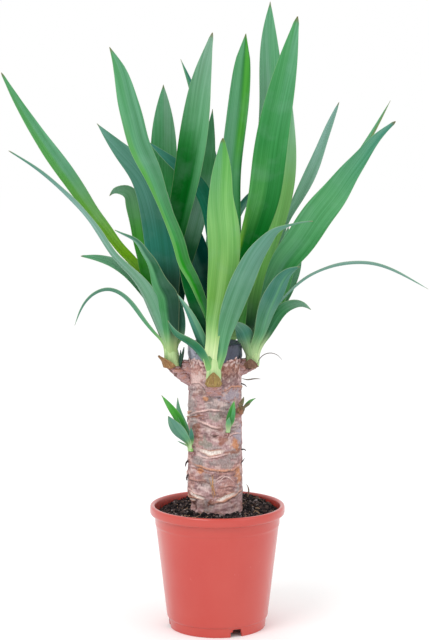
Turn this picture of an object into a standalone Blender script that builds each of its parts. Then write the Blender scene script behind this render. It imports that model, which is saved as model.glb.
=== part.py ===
"""A potted yucca: a thick cane with four leafy heads, standing in a plastic nursery pot.

Sizes below are in millimetres, measured from the middle of the pot's foot, with +Z up
and -Y towards the viewer. Azimuths are degrees anticlockwise from +X, seen from above.
"""
import math

import bmesh
import bpy
import numpy as np

MM = 0.001
CLEARANCE = 0.4

# Nursery pot: a 14 cm size, moulded in one piece.
ROUND_SIDES = 44
RIM_RADIUS = 70.0
RIM_INNER_RADIUS = 65.2
POT_HEIGHT = 128.4
LIP_BOTTOM = 118.6
SHOULDER_HEIGHT = 107.0
SHOULDER_RADIUS = 64.0
WALL_FOOT_RADIUS = 52.6
WALL_THICKNESS = 1.6
FLOOR_HEIGHT = 10.0
FOOT_RADIUS = 50.0
FOOT_THICKNESS = 1.8
# Drain notches in the foot: a stepped left top corner and a slanted right side, across and up.
NOTCH_AZIMUTHS = (-67.0, -172.0, 60.0)
NOTCH_OUTLINE = ((-6.5, -2.0), (-6.5, 5.6), (-4.4, 5.6), (-4.4, 8.2), (4.6, 8.2), (6.8, -2.0))
DRAIN_HOLES = 5
DRAIN_HOLE_RADIUS = 4.0
DRAIN_HOLE_SIDES = 10
DRAIN_CIRCLE_RADIUS = 30.0

# Compost: one root ball that fills the pot, heaped up a little round the cane.
SOIL_LEVEL = 118.0
SOIL_HEAP = 5.0
SOIL_BACK_RISE = 8.0
SOIL_BACK_AZIMUTH = 50.0
SOIL_LUMP = 0.9
SOIL_SHARES = (1.0, 0.86, 0.66, 0.46, 0.26, 0.1, 0.0)
PLANTING_DEPTH = 40.0

# Cane: a sawn length of trunk, with a short branch stub under each head.
CANE_X = -2.5
CANE_RADIUS = 28.0
CANE_TAPER = 1.6
CANE_FLUTE = 0.35
CANE_TOP = 297.0
CANE_TOP_BEVEL = 1.4
CANE_SIDES = 24
DENT_HEIGHT = 127.0
DENT_DEPTH = 6.0
DENT_REACH = 8.0
LEAF_SCARS = ((142.0, 0.8), (161.5, 0.8), (173.9, 1.0), (188.4, -0.8), (216.3, 0.9), (229.7, 0.8),
              (248.0, 0.6))
SCAR_REACH = 1.8
SCAR_SPACING = 3.2
SCAR_TILT = 2.0
STUB_SIDES = 14
WAX_DEPTH = 16.0
WAX_THICKNESS = 1.1
WAX_RUNS = (2.6, 1.4)

# Crowns: the point where each head leaves its stub, the top of its core, and the core's radius.
CROWNS = {
    "left": ((-46.0, -4.0, 274.0), (-50.0, -8.0, 312.0), 8.6),
    "front": ((-4.0, -38.0, 258.0), (-4.0, -45.0, 300.0), 8.4),
    "right": ((35.0, -1.0, 273.0), (39.0, -3.0, 309.0), 8.0),
    "back": ((5.0, 38.0, 278.0), (6.0, 43.0, 312.0), 8.2),
}
STUB_ROOTS = {
    "left": (-15.0, -2.0, 250.0, 10.5),
    "front": (-4.0, -23.0, 246.0, 9.0),
    "right": (14.0, -1.0, 262.0, 8.0),
    "back": (3.0, 18.0, 256.0, 10.0),
}

CORE_SIDES = 12
CORE_TAPER = ((0.0, 1.0), (0.3, 1.0), (0.65, 0.72), (1.0, 0.35))
LEAF_START = 0.08

# Leaves: width, place of the widest part from base to tip, azimuth that the inner face looks
# to, twist in degrees, fold of each half in degrees, and the points that the midrib runs through.
BLADE_STATIONS = 12
BLADE_NECK = 0.40
BLADE_TIP_POWER = 2.1
BLADE_TIP_HALF_WIDTH = 0.7
BLADE_BASE_FOLD = 1.5
BLADE_TIP_FOLD = 0.7
BLADE_RIB_THICKNESS = 1.5
BLADE_EDGE_THICKNESS = 0.8
LEAVES = {
    "left": (
        (25, 0.58, -52, 0, 20, ((-51, -1, 290), (-59, 2, 319), (-73, 5, 355), (-94, 6, 384),
                                (-126, 6, 421), (-152, 5, 462), (-172, 3, 493), (-196, 0, 532),
                                (-219, -4, 573))),
        (26, 0.34, 66, -62, 18, ((-52, -10, 290), (-60, -16, 312), (-70, -20, 342), (-88, -24, 371),
                                 (-115, -27, 408), (-141, -29, 441), (-173, -32, 474), (-208, -36, 494))),
        (19, 0.60, -42, 0, 16, ((-50, 2, 290), (-63, 7, 320), (-79, 10, 348), (-97, 10, 367),
                                (-112, 8, 377), (-125, 6, 384), (-139, 4, 386))),
        (14, 0.50, 28, 0, 20, ((-53, -5, 286), (-62, -8, 300), (-79, -9, 325), (-99, -10, 350),
                               (-113, -12, 355), (-131, -14, 347), (-146, -18, 319))),
        (28, 0.42, 82, -35, 16, ((-46, -13, 288), (-48, -25, 308), (-51, -32, 329), (-55, -38, 355),
                                 (-63, -43, 374), (-71, -46, 391), (-85, -50, 403), (-101, -54, 413))),
        (20, 0.76, -58, 25, 14, ((-48, -5, 290), (-56, -6, 324), (-72, -8, 375), (-80, -10, 404),
                                 (-82, -13, 430), (-85, -18, 448), (-93, -26, 455), (-107, -36, 446))),
        (34, 0.46, 92, 0, 14, ((-48, -10, 292), (-49, -15, 322), (-51, -19, 358), (-56, -23, 399),
                               (-64, -28, 440), (-77, -33, 472), (-93, -39, 491), (-119, -46, 520))),
        (25, 0.74, -90, 0, 14, ((-46, 2, 292), (-47, 19, 339), (-51, 35, 400), (-55, 43, 462),
                                (-56, 45, 530), (-56, 46, 560))),
        (30, 0.70, -92, 0, 15, ((-44, 0, 292), (-46, 4, 341), (-45, 6, 392), (-37, 7, 433), (-31, 9, 469),
                                (-26, 12, 506), (-22, 14, 534), (-18, 16, 561), (-6, 20, 613))),
        (19, 0.62, -80, 0, 14, ((-43, 2, 292), (-41, 21, 329), (-35, 34, 374), (-27, 41, 405),
                                (-17, 45, 447), (-10, 48, 488), (-5, 50, 536))),
        (11, 0.55, 60, 0, 18, ((-42, -4, 286), (-40, -5, 303), (-40, -6, 327), (-44, -6, 350))),
        (24, 0.60, -62, 0, 16, ((-48, 4, 290), (-55, 38, 327), (-65, 74, 366), (-72, 106, 401),
                                (-76, 128, 420))),
        (26, 0.60, -85, 0, 16, ((-46, 4, 292), (-48, 36, 338), (-52, 66, 388), (-55, 92, 432),
                                (-57, 110, 465))),
    ),
    "front": (
        (25, 0.72, -70, 0, 18, ((-7, -41, 272), (-10, -44, 301), (-15, -48, 342), (-27, -53, 380),
                                (-41, -58, 415), (-56, -62, 451), (-69, -65, 486), (-78, -68, 505),
                                (-87, -72, 544), (-104, -80, 594))),
        (34, 0.54, -90, 0, 13, ((-4, -42, 274), (-4, -53, 316), (-2, -58, 343), (2, -62, 372),
                                (4, -66, 397), (4, -72, 432), (5, -80, 471), (6, -88, 507))),
        (31, 0.70, -92, 0, 16, ((-2, -39, 272), (2, -39, 300), (10, -38, 335), (19, -35, 365),
                                (27, -32, 388), (36, -30, 414), (45, -28, 445), (51, -28, 479),
                                (56, -28, 515), (66, -30, 565), (79, -34, 626))),
        (30, 0.44, 118, -20, 14, ((-2, -44, 272), (3, -58, 298), (9, -68, 325), (16, -75, 343),
                                  (24, -82, 362), (35, -88, 386), (48, -99, 405), (62, -110, 418),
                                  (75, -122, 425), (88, -135, 427))),
        (12, 0.50, 60, 0, 20, ((-9, -43, 272), (-16, -52, 291), (-29, -60, 305), (-42, -66, 315),
                               (-49, -70, 328))),
        (11, 0.42, 75, 0, 18, ((-8, -44, 276), (-14, -53, 300), (-22, -58, 321), (-30, -61, 338),
                               (-40, -63, 354))),
    ),
    "right": (
        (28, 0.66, -95, 0, 14, ((36, 0, 288), (39, 3, 310), (43, 8, 346), (49, 10, 380), (55, 12, 407),
                                (61, 14, 434), (65, 16, 463), (68, 18, 494), (72, 20, 533), (75, 22, 552))),
        (20, 0.62, -124, 0, 16, ((37, 2, 288), (46, 11, 319), (55, 18, 360), (63, 22, 394), (72, 24, 419),
                                 (83, 26, 440), (94, 28, 463), (104, 30, 486), (114, 32, 510),
                                 (126, 34, 543))),
        (31, 0.55, -112, 0, 14, ((38, -3, 288), (46, -8, 316), (57, -10, 353), (70, -12, 381),
                                 (82, -14, 399), (102, -16, 430), (115, -18, 450), (130, -20, 471),
                                 (144, -22, 487), (159, -24, 504), (178, -28, 523))),
        (10, 0.50, -165, 0, 20, ((40, 1, 286), (50, 3, 315), (64, 4, 351), (84, 4, 392), (110, 3, 433),
                                 (135, 2, 472), (156, 0, 507), (176, 0, 544))),
        (28, 0.60, 118, 0, 16, ((38, -7, 284), (42, -17, 302), (49, -25, 323), (57, -31, 344),
                                (64, -35, 359), (73, -39, 370), (84, -44, 378))),
        (16, 0.55, 118, 0, 16, ((41, -3, 284), (48, -5, 300), (56, -7, 317), (66, -9, 331),
                                (76, -11, 338), (86, -14, 341), (95, -17, 336))),
        (9, 0.65, 175, 0, 24, ((40, 3, 286), (49, 8, 307), (62, 12, 334), (77, 14, 351), (99, 16, 368),
                               (132, 18, 378), (163, 20, 377), (192, 22, 365), (219, 24, 350))),
        (13, 0.50, 60, 0, 18, ((33, -7, 282), (32, -13, 298), (27, -20, 313), (17, -28, 322))),
        (24, 0.60, -112, 0, 16, ((38, 4, 286), (55, 34, 318), (74, 66, 350), (91, 96, 376))),
        (26, 0.60, -95, 0, 16, ((38, 6, 290), (55, 32, 326), (69, 61, 370), (76, 88, 411))),
    ),
    "back": (
        (16, 0.60, -60, 0, 16, ((4, 40, 296), (2, 46, 337), (0, 56, 399), (-4, 62, 462), (-15, 66, 514),
                                (-27, 68, 556), (-38, 70, 586))),
        (25, 0.72, -90, 0, 16, ((6, 38, 296), (9, 36, 338), (13, 33, 378), (14, 30, 406), (12, 28, 437),
                                (13, 26, 473), (18, 24, 512), (22, 22, 545), (27, 20, 585), (29, 20, 611))),
        (25, 0.75, -90, 0, 14, ((7, 40, 294), (15, 44, 318), (29, 50, 357), (41, 54, 404), (47, 56, 446),
                                (50, 56, 483), (54, 56, 514), (56, 56, 556), (54, 58, 607), (55, 61, 647))),
        (16, 0.60, -60, 0, 16, ((4, 36, 294), (3, 33, 338), (0, 30, 396), (-6, 28, 438), (-20, 26, 465),
                                (-44, 26, 485), (-72, 28, 503))),
        (13, 0.60, -110, 0, 16, ((7, 42, 292), (9, 50, 336), (12, 60, 383), (20, 68, 424), (34, 73, 446),
                                 (56, 79, 464), (72, 84, 474))),
        (28, 0.50, -62, 0, 14, ((3, 40, 290), (-7, 50, 323), (-15, 62, 359), (-26, 72, 395),
                                (-38, 80, 426), (-53, 88, 459))),
        (25, 0.42, -108, 0, 16, ((11, 39, 290), (23, 41, 301), (31, 44, 317), (38, 48, 344), (50, 52, 381),
                                 (66, 56, 408), (79, 62, 431))),
        (26, 0.60, -90, 0, 16, ((4, 44, 290), (2, 74, 325), (0, 104, 363), (-4, 126, 396), (-8, 137, 420))),
        (24, 0.60, -55, 0, 16, ((2, 42, 288), (-11, 66, 315), (-27, 95, 346), (-43, 120, 368))),
        (24, 0.60, -125, 0, 16, ((8, 42, 288), (19, 68, 318), (32, 97, 353), (46, 124, 380))),
        (26, 0.60, -90, 0, 14, ((6, 44, 296), (9, 60, 336), (10, 77, 398), (9, 88, 451))),
    ),
}

# Young shoots that break from the side of the cane, each on a woody knob: the knob's top and radius.
SHOOT_STATIONS = 6
SEAT_SIDES = 8
SEAT_DEPTH = 5.0
SEAT_INWARD = 0.8
SHOOT_SEATS = {
    "left": ((-27.2, -21.2, 188.0), 3.0),
    "front": ((10.6, -29.8, 209.0), 2.6),
    "right": ((22.8, -21.2, 228.0), 4.0),
}
SHOOTS = {
    "left": (
        (15, 0.55, 60, 0, 12, ((-29, -23, 194), (-36, -27, 206), (-44, -29, 217), (-49, -30, 226))),
        (9, 0.50, -70, 0, 16, ((-30, -21, 196), (-38, -22, 218), (-47, -22, 232), (-57, -22, 246))),
        (7, 0.45, -60, 0, 16, ((-29, -21, 198), (-33, -20, 216), (-37, -19, 231), (-37, -19, 243))),
        (5, 0.50, 30, 0, 16, ((-29, -23, 192), (-33, -26, 195), (-41, -28, 200))),
        (6, 0.50, -60, 0, 16, ((-27, -23, 196), (-27, -26, 206), (-27, -28, 214))),
    ),
    "front": (
        (9, 0.42, -90, 0, 14, ((11, -33, 213), (13, -35, 224), (15, -37, 234), (17, -38, 243))),
        (6, 0.40, 90, 0, 14, ((11, -34, 213), (11, -37, 220), (12, -39, 226))),
    ),
    "right": (
        (12, 0.35, 100, 0, 10, ((23, -22, 232), (25, -24, 239), (27, -25, 245))),
        (9, 0.35, 150, 0, 10, ((25, -21, 231), (29, -23, 235), (33, -24, 238))),
        (7, 0.30, 170, 0, 12, ((26, -20, 230), (32, -21, 236), (39, -22, 241))),
    ),
}

# Dry sheaths at the foot of the heads: crown, azimuth of the middle, half width in degrees,
# and the distance from the crown's axis and the height at three steps up the scale.
BRACTS = {
    "left": (-150.0, 60.0, ((9.3, -3.6), (10.6, 2.0), (15.5, 9.0))),
    "front": (-90.0, 62.0, ((9.4, -3.0), (10.2, 6.0), (12.0, 16.0))),
    "right": (-96.0, 46.0, ((9.5, -1.0), (9.9, 4.0), (11.0, 10.0))),
}
BRACT_THICKNESS = 1.1
BRACT_ROWS = (0.0, 0.35, 0.7, 1.0)
BRACT_ACROSS = (-1.0, -0.5, 0.0, 0.5, 1.0)
BRACT_TIP_SPREAD = 4.0

COLOURS = {
    "pot": ((0.62, 0.14, 0.09), 0.5),
    "soil": ((0.03, 0.022, 0.018), 0.95),
    "bark": ((0.42, 0.30, 0.26), 0.85),
    "wax": ((0.09, 0.09, 0.14), 0.45),
    "leaf": ((0.12, 0.34, 0.14), 0.5),
    "sheath": ((0.32, 0.19, 0.08), 0.8),
}


def clear_scene():
    for old in list(bpy.data.objects):
        bpy.data.objects.remove(old, do_unlink=True)


def material(name):
    made = bpy.data.materials.get(name)
    if made is None:
        colour, roughness = COLOURS[name]
        made = bpy.data.materials.new(name)
        made.use_nodes = True
        shader = made.node_tree.nodes["Principled BSDF"]
        shader.inputs["Base Color"].default_value = (*colour, 1.0)
        shader.inputs["Roughness"].default_value = roughness
        shader.inputs["Metallic"].default_value = 0.0
    return made


def add_object(name, verts, faces, finish, smooth=True):
    """Make one closed mesh object from points in millimetres, with its faces turned out."""
    mesh = bpy.data.meshes.new(name)
    mesh.from_pydata([tuple(c * MM for c in v) for v in verts], [], faces)
    shape = bmesh.new()
    shape.from_mesh(mesh)
    bmesh.ops.recalc_face_normals(shape, faces=shape.faces)
    if shape.calc_volume(signed=True) < 0.0:
        bmesh.ops.reverse_faces(shape, faces=shape.faces)
    shape.to_mesh(mesh)
    shape.free()
    made = bpy.data.objects.new(name, mesh)
    bpy.context.scene.collection.objects.link(made)
    mesh.materials.append(material(finish))
    if smooth:
        mesh.shade_smooth()
        mesh.set_sharp_from_angle(angle=math.radians(35.0))
    return made


def join_in_union(name, base, others):
    """Fuse the other solids into the base by one Boolean on a collection, then drop loose scraps."""
    group = bpy.data.collections.new(name + "_parts")
    bpy.context.scene.collection.children.link(group)
    for other in others:
        bpy.context.scene.collection.objects.unlink(other)
        group.objects.link(other)
    fuse = base.modifiers.new("fuse", "BOOLEAN")
    fuse.operation = "UNION"
    fuse.operand_type = "COLLECTION"
    fuse.collection = group
    fuse.solver = "EXACT"
    apply_modifiers(base)
    for other in others:
        bpy.data.objects.remove(other, do_unlink=True)
    bpy.data.collections.remove(group)
    keep_largest_shell(base)


def apply_modifiers(made):
    bpy.context.view_layer.update()
    graph = bpy.context.evaluated_depsgraph_get()
    result = bpy.data.meshes.new_from_object(made.evaluated_get(graph))
    made.modifiers.clear()
    old = made.data
    made.data = result
    bpy.data.meshes.remove(old)


def keep_largest_shell(made):
    """Sealed hollows and loose scraps left by a union are shells of their own: only the largest stays."""
    shape = bmesh.new()
    shape.from_mesh(made.data)
    left = set(shape.faces)
    shells = []
    while left:
        queue = [left.pop()]
        shell = [queue[0]]
        while queue:
            for edge in queue.pop().edges:
                for near in edge.link_faces:
                    if near in left:
                        left.remove(near)
                        shell.append(near)
                        queue.append(near)
        shells.append(shell)
    shells.sort(key=len, reverse=True)
    scraps = [face for shell in shells[1:] for face in shell]
    if scraps:
        bmesh.ops.delete(shape, geom=scraps, context="FACES")
        loose = [v for v in shape.verts if not v.link_faces]
        bmesh.ops.delete(shape, geom=loose, context="VERTS")
    shape.to_mesh(made.data)
    shape.free()


def lathe(profile, sides, centre=(0.0, 0.0)):
    """Turn a closed (radius, height) outline round a vertical axis. Points on the axis stay single."""
    verts = []
    rows = []
    for radius, height in profile:
        if radius == 0.0:
            rows.append([len(verts)] * sides)
            verts.append((centre[0], centre[1], height))
            continue
        rows.append(list(range(len(verts), len(verts) + sides)))
        for step in range(sides):
            angle = math.tau * step / sides
            verts.append((centre[0] + radius * math.cos(angle), centre[1] + radius * math.sin(angle), height))
    faces = []
    for low, high in zip(rows, rows[1:]):
        for step in range(sides):
            after = (step + 1) % sides
            corners = [low[step], low[after], high[after], high[step]]
            face = [c for i, c in enumerate(corners) if c not in corners[:i]]
            if len(face) > 2:
                faces.append(face)
    if rows[0][0] != rows[0][1]:
        faces += strip(rows[-1], rows[0])
    return verts, faces


def strip(low, high):
    """Quads between two closed rows of points."""
    count = len(low)
    return [[low[i], low[(i + 1) % count], high[(i + 1) % count], high[i]] for i in range(count)]


def sleeve(rings):
    """Join rings of points, each as long as the next, and leave both ends open."""
    count = len(rings[0])
    verts = [tuple(point) for ring in rings for point in ring]
    faces = []
    for row in range(len(rings) - 1):
        low = list(range(row * count, (row + 1) * count))
        high = [i + count for i in low]
        faces += strip(low, high)
    return verts, faces


def loft(rings):
    """A sleeve whose round ends are closed with fans."""
    verts, faces = sleeve(rings)
    count = len(rings[0])
    for row in (0, len(rings) - 1):
        middle = np.mean(np.array(rings[row]), axis=0)
        verts.append(tuple(middle))
        start = row * count
        faces += [[start + i, start + (i + 1) % count, len(verts) - 1] for i in range(count)]
    return verts, faces


def make_pot():
    top = POT_HEIGHT
    inner_wall = WALL_FOOT_RADIUS - WALL_THICKNESS
    foot_inside = FOOT_RADIUS - FOOT_THICKNESS
    profile = (
        (0.0, FLOOR_HEIGHT),
        (foot_inside, FLOOR_HEIGHT),
        (foot_inside - 0.4, 0.0),
        (FOOT_RADIUS, 0.0),
        (FOOT_RADIUS + 0.8, FLOOR_HEIGHT - 0.6),
        (WALL_FOOT_RADIUS, FLOOR_HEIGHT + 1.6),
        (SHOULDER_RADIUS, SHOULDER_HEIGHT),
        (SHOULDER_RADIUS + 0.9, SHOULDER_HEIGHT + 1.2),
        (SHOULDER_RADIUS + 1.0, LIP_BOTTOM - 1.0),
        (RIM_RADIUS - 1.4, LIP_BOTTOM),
        (RIM_RADIUS, LIP_BOTTOM + 1.6),
        (RIM_RADIUS, top - 2.4),
        (RIM_RADIUS - 1.0, top - 0.6),
        (RIM_RADIUS - 2.6, top),
        (RIM_INNER_RADIUS + 1.0, top - 0.3),
        (RIM_INNER_RADIUS, top - 2.0),
        (SHOULDER_RADIUS - 0.6, LIP_BOTTOM - 0.6),
        (SHOULDER_RADIUS - 0.7, SHOULDER_HEIGHT + 1.5),
        (SHOULDER_RADIUS - WALL_THICKNESS, SHOULDER_HEIGHT),
        (inner_wall, FLOOR_HEIGHT + 2.8),
        (inner_wall - 1.4, FLOOR_HEIGHT + 1.6),
        (0.0, FLOOR_HEIGHT + 1.6),
    )
    pot = add_object("pot", *lathe(profile, ROUND_SIDES), "pot")
    cutters = [notch_cutter(azimuth) for azimuth in NOTCH_AZIMUTHS]
    for step in range(DRAIN_HOLES):
        angle = math.tau * (step + 0.5) / DRAIN_HOLES
        centre = (DRAIN_CIRCLE_RADIUS * math.cos(angle), DRAIN_CIRCLE_RADIUS * math.sin(angle))
        below = FLOOR_HEIGHT - 3.0
        above = FLOOR_HEIGHT + 5.0
        profile = ((0.0, below), (DRAIN_HOLE_RADIUS, below), (DRAIN_HOLE_RADIUS, above), (0.0, above))
        drill = lathe(profile, DRAIN_HOLE_SIDES, centre)
        cutters.append(add_object("drain_cutter", *drill, "pot", smooth=False))
    group = bpy.data.collections.new("pot_cutters")
    bpy.context.scene.collection.children.link(group)
    for cutter in cutters:
        bpy.context.scene.collection.objects.unlink(cutter)
        group.objects.link(cutter)
        cutter.hide_render = True
        cutter.display_type = "WIRE"
    cut = pot.modifiers.new("holes", "BOOLEAN")
    cut.operation = "DIFFERENCE"
    cut.operand_type = "COLLECTION"
    cut.collection = group
    apply_modifiers(pot)
    for cutter in cutters:
        bpy.data.objects.remove(cutter, do_unlink=True)
    bpy.data.collections.remove(group)


def notch_cutter(azimuth):
    """A block with the notch's outline, that reaches right through the foot ring."""
    angle = math.radians(azimuth)
    out = (math.cos(angle), math.sin(angle))
    side = (-out[1], out[0])
    verts = []
    for reach in (FOOT_RADIUS - 8.0, FOOT_RADIUS + 5.0):
        for across, height in NOTCH_OUTLINE:
            verts.append((out[0] * reach + side[0] * across, out[1] * reach + side[1] * across, height))
    count = len(NOTCH_OUTLINE)
    faces = [list(range(count)), list(range(count, 2 * count))]
    faces += strip(list(range(count)), list(range(count, 2 * count)))
    return add_object("notch_cutter", verts, faces, "pot", smooth=False)


def soil_height(share, azimuth):
    """Height of the compost: share runs from 0 at the cane to 1 at the pot."""
    heap = SOIL_HEAP * math.exp(-((share / 0.3) ** 2))
    facing = max(0.0, math.cos(azimuth - math.radians(SOIL_BACK_AZIMUTH)))
    back = SOIL_BACK_RISE * facing * share * (1.5 - share)
    lumps = SOIL_LUMP * math.sin(3.0 * azimuth + 9.0 * share) * math.cos(5.0 * azimuth - 14.0 * share)
    return SOIL_LEVEL + heap + back + lumps * min(1.0, 4.0 * (1.0 - share))


def make_soil():
    wall = SHOULDER_RADIUS - WALL_THICKNESS - CLEARANCE
    foot = WALL_FOOT_RADIUS - WALL_THICKNESS - CLEARANCE
    hole = CANE_RADIUS + CLEARANCE
    floor = FLOOR_HEIGHT + 1.6 + CLEARANCE
    edge = wall + 0.7
    verts = [(0.0, 0.0, floor)]
    faces = []
    rows = []
    for radius, height in ((foot - 1.6, floor), (foot, floor + 1.6), (wall, SHOULDER_HEIGHT),
                           (edge, SHOULDER_HEIGHT + 2.0)):
        rows.append(ring_row(verts, radius, 0.0, height))
    for share in SOIL_SHARES:
        radius = hole + (edge - hole) * share
        rows.append(ring_row(verts, radius, CANE_X * (1.0 - share), share=share))
    rows.append(ring_row(verts, hole, CANE_X, PLANTING_DEPTH))
    for low, high in zip(rows, rows[1:]):
        faces += strip(low, high)
    verts.append((CANE_X, 0.0, PLANTING_DEPTH))
    faces += [[rows[0][i], rows[0][(i + 1) % ROUND_SIDES], 0] for i in range(ROUND_SIDES)]
    last = rows[-1]
    faces += [[last[i], last[(i + 1) % ROUND_SIDES], len(verts) - 1] for i in range(ROUND_SIDES)]
    add_object("soil", verts, faces, "soil")


def ring_row(verts, radius, shift, height=None, share=None):
    """Add one ring of points and give back their numbers. A share asks for the compost's height."""
    start = len(verts)
    for step in range(ROUND_SIDES):
        angle = math.tau * step / ROUND_SIDES
        level = soil_height(share, angle) if height is None else height
        verts.append((shift + radius * math.cos(angle), radius * math.sin(angle), level))
    return list(range(start, start + ROUND_SIDES))


def cane_radius(height, azimuth):
    """The trunk's radius: a slow taper, leaf scars that run round it, and a dent low on the left."""
    if height < SOIL_LEVEL + SOIL_HEAP + 1.0:
        return CANE_RADIUS - CLEARANCE * 0.5
    radius = CANE_RADIUS - CANE_TAPER * (height - SOIL_LEVEL) / (CANE_TOP - SOIL_LEVEL)
    for scar, relief in LEAF_SCARS:
        tilt = SCAR_TILT * math.sin(azimuth + scar)
        radius += relief * math.exp(-(((height - scar - tilt) / SCAR_REACH) ** 2))
    left = max(0.0, -math.cos(azimuth - 0.35)) ** 3
    radius -= DENT_DEPTH * left * math.exp(-(((height - DENT_HEIGHT) / DENT_REACH) ** 2))
    return radius + CANE_FLUTE * math.sin(5.0 * azimuth + 0.11 * height)


def make_cane():
    surface = SOIL_LEVEL + SOIL_HEAP + 1.0
    heights = {PLANTING_DEPTH + CLEARANCE, surface - 0.1, surface + 1.0, DENT_HEIGHT + 3.0,
               CANE_TOP - WAX_DEPTH, CANE_TOP - 1.5}
    for scar, _ in LEAF_SCARS:
        heights |= {scar - SCAR_SPACING, scar, scar + SCAR_SPACING}
    rings = []
    for height in sorted(heights):
        rings.append(cane_ring(height, 0.0))
    rings.append(cane_ring(CANE_TOP, CANE_TOP_BEVEL))
    cane = add_object("cane", *loft(rings), "bark")
    branches = [make_stub(name) for name in CROWNS]
    knobs = [make_seat(name) for name in SHOOT_SEATS]
    join_in_union("cane", cane, branches + knobs)


def cane_ring(height, inset):
    ring = []
    for step in range(CANE_SIDES):
        azimuth = math.tau * step / CANE_SIDES
        radius = cane_radius(height, azimuth) - inset
        ring.append((CANE_X + radius * math.cos(azimuth), radius * math.sin(azimuth), height))
    return ring


def make_stub(name):
    """A short branch that leaves the trunk sideways and ends level under its head."""
    crown, _, core = CROWNS[name]
    root_x, root_y, root_z, root_radius = STUB_ROOTS[name]
    steps = ((0.0, root_radius), (0.45, root_radius), (0.8, core + 0.6), (1.0, core + 0.4))
    rings = []
    for share, radius in steps:
        out = share ** 0.8
        centre = (root_x + (crown[0] - root_x) * out, root_y + (crown[1] - root_y) * out)
        height = root_z + (crown[2] - CLEARANCE - root_z) * share
        rings.append(circle(centre, radius, height, STUB_SIDES))
    return add_object("stub_" + name, *loft(rings), "bark")


def circle(centre, radius, height, sides):
    points = []
    for step in range(sides):
        angle = math.tau * step / sides
        points.append((centre[0] + radius * math.cos(angle), centre[1] + radius * math.sin(angle), height))
    return points


def make_seat(name):
    """A small woody knob that a side shoot grows from, with a level top."""
    (x, y, z), radius = SHOOT_SEATS[name]
    foot = circle((x * SEAT_INWARD, y * SEAT_INWARD), radius, z - SEAT_DEPTH, SEAT_SIDES)
    rings = [foot, circle((x, y), radius, z - CLEARANCE, SEAT_SIDES)]
    return add_object("seat_" + name, *loft(rings), "bark")


def make_wax():
    """The sealing wax over the sawn top: a thin cap whose lower edge ran down unevenly."""
    inner = CANE_RADIUS - CANE_TAPER + CANE_FLUTE + CLEARANCE
    outer = inner + WAX_THICKNESS
    roof = CANE_TOP + CLEARANCE
    crest = roof + WAX_THICKNESS
    edge = None
    rings = []
    for radius, height in ((inner, edge), (inner, roof - 2.0), (inner - 2.0, roof), (outer - 2.2, crest),
                           (outer, roof - 1.4), (outer, edge)):
        ring = []
        for step in range(CANE_SIDES):
            azimuth = math.tau * step / CANE_SIDES
            run = WAX_RUNS[0] * math.sin(2.0 * azimuth + 0.8) + WAX_RUNS[1] * math.sin(5.0 * azimuth)
            level = CANE_TOP - WAX_DEPTH + run if height is edge else height
            ring.append((CANE_X + radius * math.cos(azimuth), radius * math.sin(azimuth), level))
        rings.append(ring)
    count = CANE_SIDES
    verts = [point for ring in rings for point in ring]
    faces = []
    for row in (0, 1, 3, 4):
        faces += strip(list(range(row * count, (row + 1) * count)),
                       list(range((row + 1) * count, (row + 2) * count)))
    faces += strip(list(range(5 * count, 6 * count)), list(range(count)))
    for row, level in ((2, roof), (3, crest)):
        verts.append((CANE_X, 0.0, level))
        faces += [[row * count + i, row * count + (i + 1) % count, len(verts) - 1] for i in range(count)]
    add_object("wax_cap", verts, faces, "wax")


def smooth_path(points, stations):
    """Evenly spaced points on a natural cubic spline through the given ones."""
    given = np.array(points, dtype=float)
    knots = np.concatenate(([0.0], np.cumsum(np.linalg.norm(np.diff(given, axis=0), axis=1))))
    gaps = np.diff(knots)
    count = len(given)
    system = np.eye(count)
    bends = np.zeros((count, 3))
    for i in range(1, count - 1):
        system[i, i - 1:i + 2] = (gaps[i - 1], 2.0 * (gaps[i - 1] + gaps[i]), gaps[i])
        bends[i] = 6.0 * ((given[i + 1] - given[i]) / gaps[i] - (given[i] - given[i - 1]) / gaps[i - 1])
    curve = np.linalg.solve(system, bends)
    fine = []
    for i in range(count - 1):
        for part in np.linspace(0.0, 1.0, 12, endpoint=(i == count - 2)):
            a, b, h = 1.0 - part, part, gaps[i]
            fine.append(a * given[i] + b * given[i + 1]
                        + ((a ** 3 - a) * curve[i] + (b ** 3 - b) * curve[i + 1]) * h * h / 6.0)
    fine = np.array(fine)
    run = np.concatenate(([0.0], np.cumsum(np.linalg.norm(np.diff(fine, axis=0), axis=1))))
    wanted = np.linspace(0.0, run[-1], stations)
    return np.stack([np.interp(wanted, run, fine[:, axis]) for axis in range(3)], axis=1)


def unit(vector):
    return vector / np.linalg.norm(vector)


def blade_width(share, widest):
    """Width of a leaf as a part of its greatest width, from 0 at the base to 1 at the tip."""
    if share < widest:
        rise = share / widest
        return BLADE_NECK + (1.0 - BLADE_NECK) * rise * rise * (3.0 - 2.0 * rise)
    return max(0.0, 1.0 - ((share - widest) / (1.0 - widest)) ** BLADE_TIP_POWER)


def blade_frames(path, faces_to, twist):
    """Directions along, across and out of the inner face at each point, carried along the leaf."""
    along = np.gradient(path, axis=0)
    azimuth = math.radians(faces_to)
    out = np.array((math.cos(azimuth), math.sin(azimuth), 0.0))
    frames = []
    for i, step in enumerate(along):
        ahead = unit(step)
        out = unit(out - ahead * np.dot(out, ahead))
        side = np.cross(ahead, out)
        turn = math.radians(twist) * i / (len(path) - 1)
        frames.append((ahead, side * math.cos(turn) - out * math.sin(turn),
                       out * math.cos(turn) + side * math.sin(turn)))
    return frames


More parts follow.
